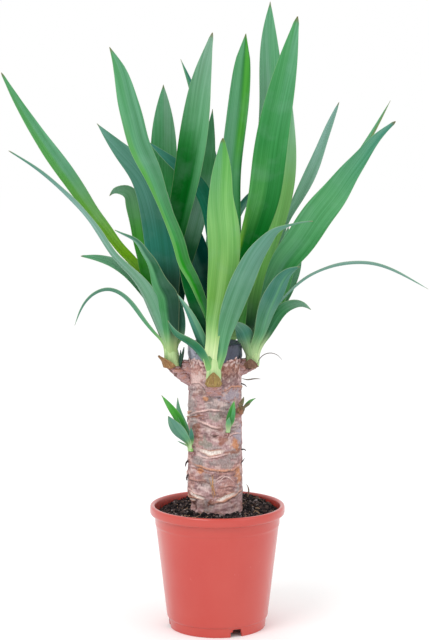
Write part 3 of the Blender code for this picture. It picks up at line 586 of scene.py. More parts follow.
# Patches: colour, azimuth, height, half width in degrees, half height, relief.
PATCHES = (
    (BLUE_GREY, -56, 246, 34, 8, -0.3), (GREEN_GREY, -112, 197, 15, 7, 0.0),
    (GREEN_GREY, -90, 224, 18, 5, 0.0), (BLUE_GREY, -24, 204, 20, 9, -0.2),
    (BARK_GREY, -150, 238, 18, 9, 0.0), (ORANGE, -42, 194.5, 13, 5.5, 0.3),
    (RUST, -48, 187, 28, 2.4, 0.2), (ORANGE, -111, 244, 8, 2.4, 0.5),
    (RUST, -133, 210, 12, 8, 0.2), (CRACK_DARK, -176, 219, 8, 4, 1.2),
    (RUST, -54, 272, 38, 10, 0.3), (BARK_PINK, -140, 268, 24, 12, 0.3),
    (ORANGE, -28, 160, 14, 9, 0.1), (BARK_PINK, -60, 156, 22, 5, 0.4),
    (RUST, -92, 136, 12, 4, 0.3), (ORANGE, -122, 168, 10, 4, 0.1),
    (CRACK_DARK, -152, 132, 14, 9, -1.0), (RUST, -160, 138, 10, 6, 0.8),
    (BARK_PALE, -100, 212, 14, 4, 0.2), (BARK_PALE, -60, 198, 10, 4, 0.2),
    (RUST, -75, 200, 12, 5, 0.2), (BARK_LIGHT, -136, 262, 20, 7, 0.2),
    (BARK_SHADE, -50, 262, 26, 9, -0.2), (BARK_SHADE, -96, 205, 16, 5, -0.3),
    (BARK_SHADE, -118, 222, 14, 4, -0.2), (BARK_LIGHT, -78, 238, 14, 3, 0.2),
    (BARK_SHADE, -62, 226, 18, 4, -0.2), (BARK_LIGHT, -126, 184, 12, 3, 0.2),
    (BARK_SHADE, -84, 162, 20, 4, -0.2), (BARK_LIGHT, -112, 150, 16, 4, 0.2),
    (BARK_DARK, -150, 200, 12, 8, 0.0), (BARK_GREY, -70, 175, 30, 6, 0.0),
    (BARK_GREY, -135, 178, 14, 5, 0.0),
)
# Branch stubs and the woody seats of the young shoots: root, its radius, tip, its radius.
STUBS = {
    "left": ((-15.0, -2.0, 250.0), 10.5, (-46.0, -4.0, 273.8), 9.2),
    "front": ((-4.0, -23.0, 246.0), 9.0, (-4.0, -38.0, 257.8), 8.9),
    "right": ((14.0, -1.0, 262.0), 8.0, (35.0, -1.0, 272.8), 8.6),
    "back": ((3.0, 18.0, 256.0), 10.0, (5.0, 38.0, 277.8), 8.8),
    "left_shoulder": ((-19.0, -3.0, 262.0), 10.5, (-34.0, -4.0, 279.5), 6.0),
    "right_shoulder": ((15.0, -2.0, 262.0), 9.5, (28.0, -2.0, 281.0), 4.6),
}
SEATS = {
    "left": ((-27.2, -21.2, 187.6), 3.2),
    "front": ((10.6, -29.8, 208.6), 2.6),
    "right": ((22.8, -21.2, 227.6), 4.2),
}


def soft_step(value, low, high):
    """Rise from 0 to 1 as a value goes from low to high, level at both ends."""
    share = np.clip((value - low) / (high - low), 0.0, 1.0)
    return share * share * (3.0 - 2.0 * share)


def cloud_field(x, y, z, size, seed):
    """Noise from -1 to 1 at many points, with lumps about as wide as the size in millimetres."""
    return np.array([noise.noise((a / size + seed, b / size, c / size)) for a, b, c in zip(x, y, z)])


def rear_marks(rng):
    """Lips, splits and cracks for the trunk's unseen sides, one band of scars above another."""
    lips, splits, cracks = [], [], []
    for band in range(REAR_SCARS):
        height = LOWEST_REAR_SCAR + SCAR_SPACING * band
        start = rng.uniform(5.0, 40.0)
        while start < 175.0:
            reach = rng.uniform(35.0, 75.0)
            tilt = rng.uniform(-4.0, 4.0)
            bow = rng.uniform(-3.0, 3.0)
            points = tuple((start + reach * t, height + tilt * (t - 0.5) + bow * math.sin(math.pi * t))
                           for t in (0.0, 0.25, 0.5, 0.75, 1.0))
            tone = (LIP_PINK, LIP_ORANGE, BARK_PINK)[rng.integers(3)]
            lips.append((tone, rng.uniform(1.0, 1.8), 0.9, points))
            low = tuple((a, h - 3.0) for a, h in points)
            if rng.random() < 0.35:
                splits.append((SPLIT_WHITE, rng.uniform(1.4, 2.4), -0.9, low[1:4]))
            else:
                cracks.append((CRACK_DARK, 0.8, -0.8, low[:3]))
            start += reach + rng.uniform(8.0, 22.0)
    return lips, splits, cracks


class Bark:
    """Relief and colour of the trunk's surface, built up mark by mark on a grid of places."""

    def __init__(self, azimuths, heights):
        self.azimuth, self.height = azimuths, heights
        angle = np.radians(azimuths)
        places = [CANE_RADIUS * np.cos(angle), CANE_RADIUS * np.sin(angle), heights]
        self.wide = cloud_field(*places, WIDE_LUMPS, 0.0)
        self.middle = cloud_field(*places, MIDDLE_LUMPS, 9.0)
        self.fine = cloud_field(*places, FINE_LUMPS, 17.0)
        upright = cloud_field(places[0], places[1], heights * 0.22, 1.6, 31.0)
        self.relief = 0.35 * self.wide + 0.28 * self.middle + 0.16 * self.fine + 0.12 * upright
        ruddy = cloud_field(*places, 9.0, 40.0)
        flakes = cloud_field(places[0] * 0.35, places[1] * 0.35, heights, 2.1, 52.0)
        crown_zone = soft_step(heights, *CROWN_ZONE)
        self.relief += 0.3 * flakes
        self.relief += 0.5 * crown_zone * self.fine
        self.tone = dyed(angle, BARK_BASE)
        # Painted light and shade: BARK_LIGHT goes on the raised flakes and BARK_SHADE in the sunk ones. In
        # the crown zone the pink on the raised grain and the dark red in its hollows are the bark's own
        # reddish speckle, with painted light on the raised grain and painted shade in the hollows.
        for colour, field, low, high, share in (
                (BARK_GREY, self.wide, 0.05, 0.45, 0.8), (BARK_PINK, -self.wide, 0.05, 0.4, 0.8),
                (BARK_PALE, self.middle, 0.2, 0.5, 0.6), (BARK_DARK, -self.middle, 0.25, 0.55, 0.55),
                (RUST, ruddy, 0.28, 0.5, 0.4), (BARK_LIGHT, flakes, 0.15, 0.5, 0.5),
                (BARK_SHADE, -flakes, 0.12, 0.5, 0.7), (LIP_PINK, self.fine, 0.05, 0.35, 0.8 * crown_zone),
                (CROWN_CREVICE, -self.fine, 0.0, 0.35, 0.8 * crown_zone)):
            self.wash(colour, soft_step(field, low, high) * share)

    def wash(self, colour, amount):
        amount = np.clip(amount, 0.0, 1.0)[:, None]
        self.tone = self.tone * (1.0 - amount) + np.array(paint(*colour)) * amount

    def line(self, points, thickness, wander):
        """How strongly each place lies on a mark, tapered to its ends, and the place's height above it."""
        route = np.array(points, dtype=float)
        turn = (self.azimuth - route[0, 0] + 180.0) % 360.0 - 180.0 + route[0, 0]
        above = self.height - np.interp(turn, route[:, 0], route[:, 1]) + wander * self.middle
        length = route[-1, 0] - route[0, 0]
        share = (turn - route[0, 0]) / length
        ends = np.sin(np.pi * np.clip(share, 0.0, 1.0)) ** 0.5
        ends = np.where((share > 0.0) & (share < 1.0), ends, 0.0)
        half = 0.5 * thickness * (0.25 + 0.75 * ends)
        return ends * (1.0 - soft_step(np.abs(above), half * 0.8, half * 0.8 + 0.7)), above

    def add_lip(self, colour, thickness, relief, points):
        on, above = self.line(points, thickness, 0.9)
        self.relief += relief * on
        # Painted shadow: the band just under each lip is sunk and washed with BARK_DARK.
        shade, _ = self.line([(a, h - thickness) for a, h in points], thickness * 0.8, 0.9)
        self.relief -= 0.45 * relief * shade
        self.wash(BARK_DARK, shade * 0.75)
        self.wash(colour, on * (0.95 + 0.4 * self.fine))

    def add_split(self, colour, thickness, relief, points):
        rim, _ = self.line(points, thickness + 2.6, 0.5)
        on, _ = self.line(points, thickness, 0.5)
        self.relief += 0.7 * rim + (relief - 0.7) * on
        self.wash(LIP_ORANGE, rim * 0.7)
        self.wash(colour, on * 1.2)

    def add_crack(self, colour, thickness, relief, points):
        on, _ = self.line(points, thickness, 1.2)
        self.relief += relief * on
        self.wash(colour, on)

    def add_patch(self, colour, azimuth, height, half_width, half_height, relief):
        turn = (self.azimuth - azimuth + 180.0) % 360.0 - 180.0
        away = np.hypot(turn / half_width, (self.height - height) / half_height)
        away += 0.8 * self.middle + 0.6 * self.fine
        on = 1.0 - soft_step(away, 0.55, 1.05)
        self.relief += relief * on
        self.wash(colour, on * 0.65)

    def add_bands(self, heights):
        """The worn steps between old leaf scars: each band swells a little over the one below."""
        for step in heights:
            edge = step + 1.6 * np.sin(np.radians(self.azimuth) * 2.0 + step) + 0.8 * self.wide
            self.relief += 0.5 * np.exp(-(((self.height - edge - 2.5) / 3.0) ** 2))
            self.relief -= 0.35 * np.exp(-(((self.height - edge + 1.0) / 1.2) ** 2))


def fibres(finish, across, along, detail):
    """Noise drawn out along the grain that a mesh carries, with so many lumps a metre across and along."""
    place = finish.add("ShaderNodeUVMap", uv_map="grain").outputs["UV"]
    return finish.grain(1.0, detail, (across, along, 1.0), place)


bark = Finish("yucca_bark", Roughness=0.85, Specular_IOR_Level=0.3)
bark_tone = bark.drawn("tone", True)
fibre = fibres(bark, 1500.0, 210.0, 5.0)
speck = bark.grain(620.0, 5.0)
fibre_tone = bark.mix(1.0, bark_tone, paint(*FIBRE_TINT), "MULTIPLY")
bark_colour = bark.touch(bark_tone, fibre_tone, fibre, 0.38, 0.66, 0.55)
bark_colour = bark.touch(bark_colour, paint(*SPECK_DARK), speck, 0.56, 0.7, 0.45)
bark_colour = bark.touch(bark_colour, paint(*SPECK_LIGHT), speck, 0.44, 0.3, 0.35)
bark.coat(bark_colour, None, bark.bump(speck, 0.5, 0.6, bark.bump(fibre, 0.5, 0.6)))


def taper_at(height):
    """How much slimmer the cane is at a height than where it leaves the compost."""
    return CANE_TAPER * (height - SOIL_LEVEL) / (CANE_TOP - SOIL_LEVEL)


turns = np.arange(CANE_COLUMNS) * 360.0 / CANE_COLUMNS - 180.0
levels = np.linspace(CANE_FOOT, CANE_TOP, CANE_ROWS)
trunk_azimuth = np.tile(turns, CANE_ROWS)
trunk_height = np.repeat(levels, CANE_COLUMNS)
trunk = Bark(trunk_azimuth, trunk_height)
trunk.add_bands(SCAR_STEPS)
rear_lips, rear_splits, rear_cracks = rear_marks(np.random.default_rng(5))
for mark in PATCHES:
    trunk.add_patch(*mark)
for mark in (*LIPS, *rear_lips):
    trunk.add_lip(*mark)
for mark in (*CRACKS, *rear_cracks):
    trunk.add_crack(*mark)
for mark in (*SPLITS, *rear_splits):
    trunk.add_split(*mark)
dent = np.maximum(0.0, -np.cos(np.radians(trunk_azimuth) - 0.35)) ** 3
trunk_radius = CANE_RADIUS + CANE_SWELL - taper_at(trunk_height)
trunk_radius -= FOOT_DENT * dent * np.exp(-(((trunk_height - DENT_HEIGHT) / DENT_REACH) ** 2))
trunk_radius += trunk.relief + CANE_FLARE * np.exp(-((trunk_height - SOIL_LEVEL) / FLARE_HEIGHT) ** 2)
under_wax = soft_step(trunk_height, *UNDER_WAX)
trunk_radius = trunk_radius * (1.0 - under_wax) + np.minimum(trunk_radius, UNDER_WAX_RADIUS) * under_wax
trunk_angle = np.radians(trunk_azimuth)
trunk_points = np.stack((CANE_X + trunk_radius * np.cos(trunk_angle), trunk_radius * np.sin(trunk_angle),
                         trunk_height), axis=1)


def stub_skin(root, root_radius, tip, tip_radius, rings=54, sides=60):
    """A branch stub: a bent neck with close ring scars, that widens into the trunk at its root."""
    verts, tones, places = [], [], []
    for i in range(rings):
        share = i / (rings - 1)
        out = share ** 0.8
        x = root[0] + (tip[0] - root[0]) * out
        y = root[1] + (tip[1] - root[1]) * out
        z = root[2] + (tip[2] - root[2]) * share
        radius = root_radius + (tip_radius - root_radius) * soft_step(share, 0.45, 0.95)
        ring_scar = 0.5 * math.sin(share * 26.0) + 0.25 * math.sin(share * 61.0)
        for a in ring_angles(sides):
            rough = 0.9 * noise.noise((x / 6.0 + math.cos(a) * 1.6, y / 6.0 + math.sin(a) * 1.6, z / 4.0))
            fine = 0.5 * noise.noise((x / 2.0 + math.cos(a) * 5.0, y / 2.0 + math.sin(a) * 5.0, z / 1.6))
            reach = radius - 0.8 + (ring_scar * 0.6 + rough + fine) * min(1.0, 8.0 * (1.02 - share))
            verts.append(around(reach, a, z, (x, y)))
            pick = rough + 0.7 * fine
            tone = BARK_PINK if pick > 0.25 else BARK_DARK if pick < -0.35 else BARK_BASE
            tones.append(paint(*(RUST if ring_scar < -0.45 and fine > 0 else tone)))
            places.append((a * radius * MM, share * GRAIN_ON_STUBS))
    return np.array(verts), tube_faces(rings, sides), np.array(tones), np.array(places)


def seat_skin(top, radius):
    """The woody knob that a young shoot or the bud stands on."""
    inner = (top[0] * 0.82, top[1] * 0.82, top[2] - 5.0)
    return stub_skin(inner, radius + 0.8, top, radius, 14, 20)


trunk_places = np.stack((trunk_angle * CANE_RADIUS * MM, trunk_height * MM), axis=1)
skins = [(trunk_points, tube_faces(CANE_ROWS, CANE_COLUMNS), trunk.tone, trunk_places)]
skins += [stub_skin(*stub) for stub in STUBS.values()]
skins += [seat_skin(*seat) for seat in SEATS.values()]
cane = toned_piece("cane_bark", skins, bark.material, CANE_CREASE)


def write_grain(mesh, places):
    """Give each corner its point's place on the flat grain, in metres across and along."""
    layer = mesh.uv_layers.new(name="grain")
    corners = np.empty(len(mesh.loops), dtype=np.int32)
    mesh.loops.foreach_get("vertex_index", corners)
    layer.data.foreach_set("uv", np.asarray(places, dtype=np.float32)[corners].ravel())


write_grain(cane.data, np.concatenate([skin[3] for skin in skins]))
settle(cane, "bark", "cane")

# The sawn top was sealed with wax against rot. It was dipped or brushed on hot, so it is a dark, dull
# skin about a millimetre thick whose lower edge ran down the bark in uneven tongues before it set.
WAX_TOP = 298.2
WAX_SIDES = 220
WAX_EDGE = 279.5
WAX_INNER_RADIUS = CANE_RADIUS - 2.0
WAX_TONGUE = 4.2
WAX_TONGUE_AZIMUTH = 322.0
WAX_CREASE = 60.0
WAX_DARK = (50, 54, 74)
WAX_SHEEN = (158, 160, 172)
WAX_BLACK = (26, 28, 40)
WAX_SKIRT_ROWS = 16
# Rings over the top: how far each lies inside the skirt, and its height above the wax's top.
WAX_TOP_RINGS = ((0.35, -0.9), (1.1, -0.3), (2.4, 0.0), (7.0, -0.5), (14.0, -0.9), (21.0, -0.8))
WAX_SHOULDER = WAX_SKIRT_ROWS + 2


def wax_edge(azimuth):
    """Height of the wax's lower edge round the trunk."""
    return (WAX_EDGE + 2.4 * math.sin(2.0 * azimuth + 0.8) + 1.3 * math.sin(5.0 * azimuth)
            + 1.2 * noise.noise((6.0 * math.cos(azimuth), 6.0 * math.sin(azimuth), 4.0))
            + WAX_TONGUE * math.exp(-((azimuth - math.radians(WAX_TONGUE_AZIMUTH)) / 0.6) ** 2))


wax_rings = []
for share in np.linspace(0.0, 1.0, WAX_SKIRT_ROWS):
    reach = CANE_RADIUS - 0.6 + 0.9 * math.sin(math.pi * min(1.0, share * 3.0 + 0.1) * 0.5)
    wax_rings.append([(reach, wax_edge(a) * (1.0 - share) + (WAX_TOP - 1.6) * share)
                      for a in ring_angles(WAX_SIDES)])
for inset, rise in WAX_TOP_RINGS:
    wax_rings.append([(CANE_RADIUS + 0.3 - inset, WAX_TOP + rise)] * WAX_SIDES)
wax_verts = []
for i, ring in enumerate(wax_rings):
    for a, (reach, height) in zip(ring_angles(WAX_SIDES), ring):
        x, y, _ = around(reach, a, 0.0)
        swell = noise.noise((x / 7.0, y / 7.0, height / 9.0))
        fine = noise.noise((x / 2.2, y / 2.2, height / 3.0))
        if i < WAX_SHOULDER:
            reach += 0.45 * swell + 0.2 * fine - 0.35
        else:
            height += 0.5 * swell + 0.2 * fine - 0.4
        wax_verts.append(around(reach, a, height, (CANE_X, 0.0)))
wax_faces = ring_faces(len(wax_rings), WAX_SIDES)
wax_faces.append(tuple(range((len(wax_rings) - 1) * WAX_SIDES, len(wax_rings) * WAX_SIDES)))
inner_start = len(wax_verts)
for a in ring_angles(WAX_SIDES):
    wax_verts.append(around(WAX_INNER_RADIUS, a, wax_edge(a) + 0.4, (CANE_X, 0.0)))
wax_faces += [(inner_start + j, inner_start + (j + 1) % WAX_SIDES, (j + 1) % WAX_SIDES, j)
              for j in range(WAX_SIDES)]
sealing = Finish("sealing_wax", Roughness=0.45)
smear = sealing.grain(75.0, 5.0, (1.0, 1.0, 0.6))
# Painted highlight: pale grey goes on the wax's left side, where the key lamp falls, broken up by smear.
painted_sheen = sealing.times(sealing.drawn("painted_sheen"), sealing.spread(smear, 0.3, 0.55))
wax_colour = sealing.mix(painted_sheen, paint(*WAX_DARK), paint(*WAX_SHEEN))
wax_colour = sealing.touch(wax_colour, paint(*WAX_BLACK), sealing.grain(160.0, 4.0), 0.52, 0.66)
wax_relief = sealing.bump(sealing.grain(300.0, 4.0), 0.4)
sealing.coat(wax_colour, sealing.spread(smear, 0.3, 0.7, 0.3, 0.65), wax_relief)
wax = piece_from("wax_seal", wax_verts, wax_faces, sealing.material, WAX_CREASE)
wax_points = np.array(wax_verts)
# Painted highlight: how much pale grey each point takes, most on the left, towards the key lamp.
to_left = -wax_points[:, 0] / CANE_RADIUS
sheen_share = soft_step(to_left + 0.7 * cloud_field(*wax_points.T, 9.0, 3.0), 0.1, 0.9)
write_points(wax.data, "painted_sheen", sheen_share * 0.9 + 0.1)
settle(wax, "wax", "wax_cap")

# Each head is a rosette of sword leaves that grew from one tip: every leaf base wraps part of a short
# pale core, then opens into a leathery blade with a shallow fold, fine veins, a thin pale margin and
# a sharp tip. Four such heads stand on the branch stubs and are fused round their cores.

# Each core's foot, a point on its axis above the foot, and its radius.
CROWNS = {
    "left": ((-46.0, -4.0, 274.0), (-50.0, -8.0, 312.0), 8.6),
    "front": ((-4.0, -38.0, 258.0), (-4.0, -45.0, 300.0), 8.4),
    "right": ((35.0, -1.0, 273.0), (39.0, -3.0, 309.0), 8.0),
    "back": ((5.0, 38.0, 278.0), (6.0, 43.0, 312.0), 8.2),
}
LEAF_START = 0.08
# How far up a leaf its pale foot reaches: where it starts to fade, and where it ends.
PALE_FOOT = (12.0, 42.0)
PALEST_FOOT = (26.0, 72.0)
PALEST_LEAF = ("front", 1)
HEAD_BASES = {"left": "butter", "front": "pale", "right": "milk", "back": "milk"}
LEAF_CREASE = 50.0
LEAF_ACROSS = 15
LEAF_STEP = 2.8
LEAF_NECK = 0.40
LEAF_RISE = 0.08
LEAF_TIP_POWER = 2.1
LEAF_RIB_SOFTNESS = 0.22
LEAF_RIB_THICKNESS = 1.2
LEAF_EDGE_THICKNESS = 0.5
# The darkest greens (night, shade, petrol, deep) are painted shade. Frost is painted light, pale enough to
# lift leaves that lie in the shade of others.
GREENS = {
    "cream": (204, 224, 168), "milk": (186, 212, 154), "pale": (144, 194, 112), "fresh": (116, 178, 92),
    "lime": (118, 170, 34), "grass": (72, 152, 58), "vivid": (38, 142, 30), "leafy": (87, 154, 104),
    "sage": (97, 156, 120), "grey": (118, 158, 136), "steel": (88, 140, 124), "teal": (62, 124, 108),
    "petrol": (4, 80, 72), "deep": (14, 98, 42), "night": (2, 52, 38),
    "moss": (96, 142, 76), "olive": (122, 136, 88), "brown": (112, 92, 62), "mist": (124, 162, 154),
    "spring": (92, 162, 82), "clover": (54, 132, 70), "jade": (24, 110, 84), "butter": (188, 210, 140),
    "forest": (4, 94, 26), "shade": (14, 84, 46), "lagoon": (2, 108, 92), "slate": (58, 116, 102),
    "fern": (56, 126, 58), "pine": (28, 104, 50), "haze": (92, 140, 122), "dusk": (82, 136, 102),
    "pear": (122, 178, 104), "meadow": (106, 162, 74), "frost": (134, 180, 158),
}
BLADE_VEIN = (206, 218, 200)
BLADE_BLOOM = (136, 172, 158)
BLADE_MARGIN = (176, 198, 150)
STREAK_LIGHT = (1.28, 1.16, 1.22, 1.0)
STREAK_DARK = (0.7, 0.86, 0.72, 1.0)
GREENS_AT = (0.12, 0.36, 0.66, 0.98, 1.0)
BACK_GREY_SHARE = 0.14
NO_MARGIN = 9.0
LANE_SHIFT = 0.13
BACK_SHIFT = (0.05, 0.0)
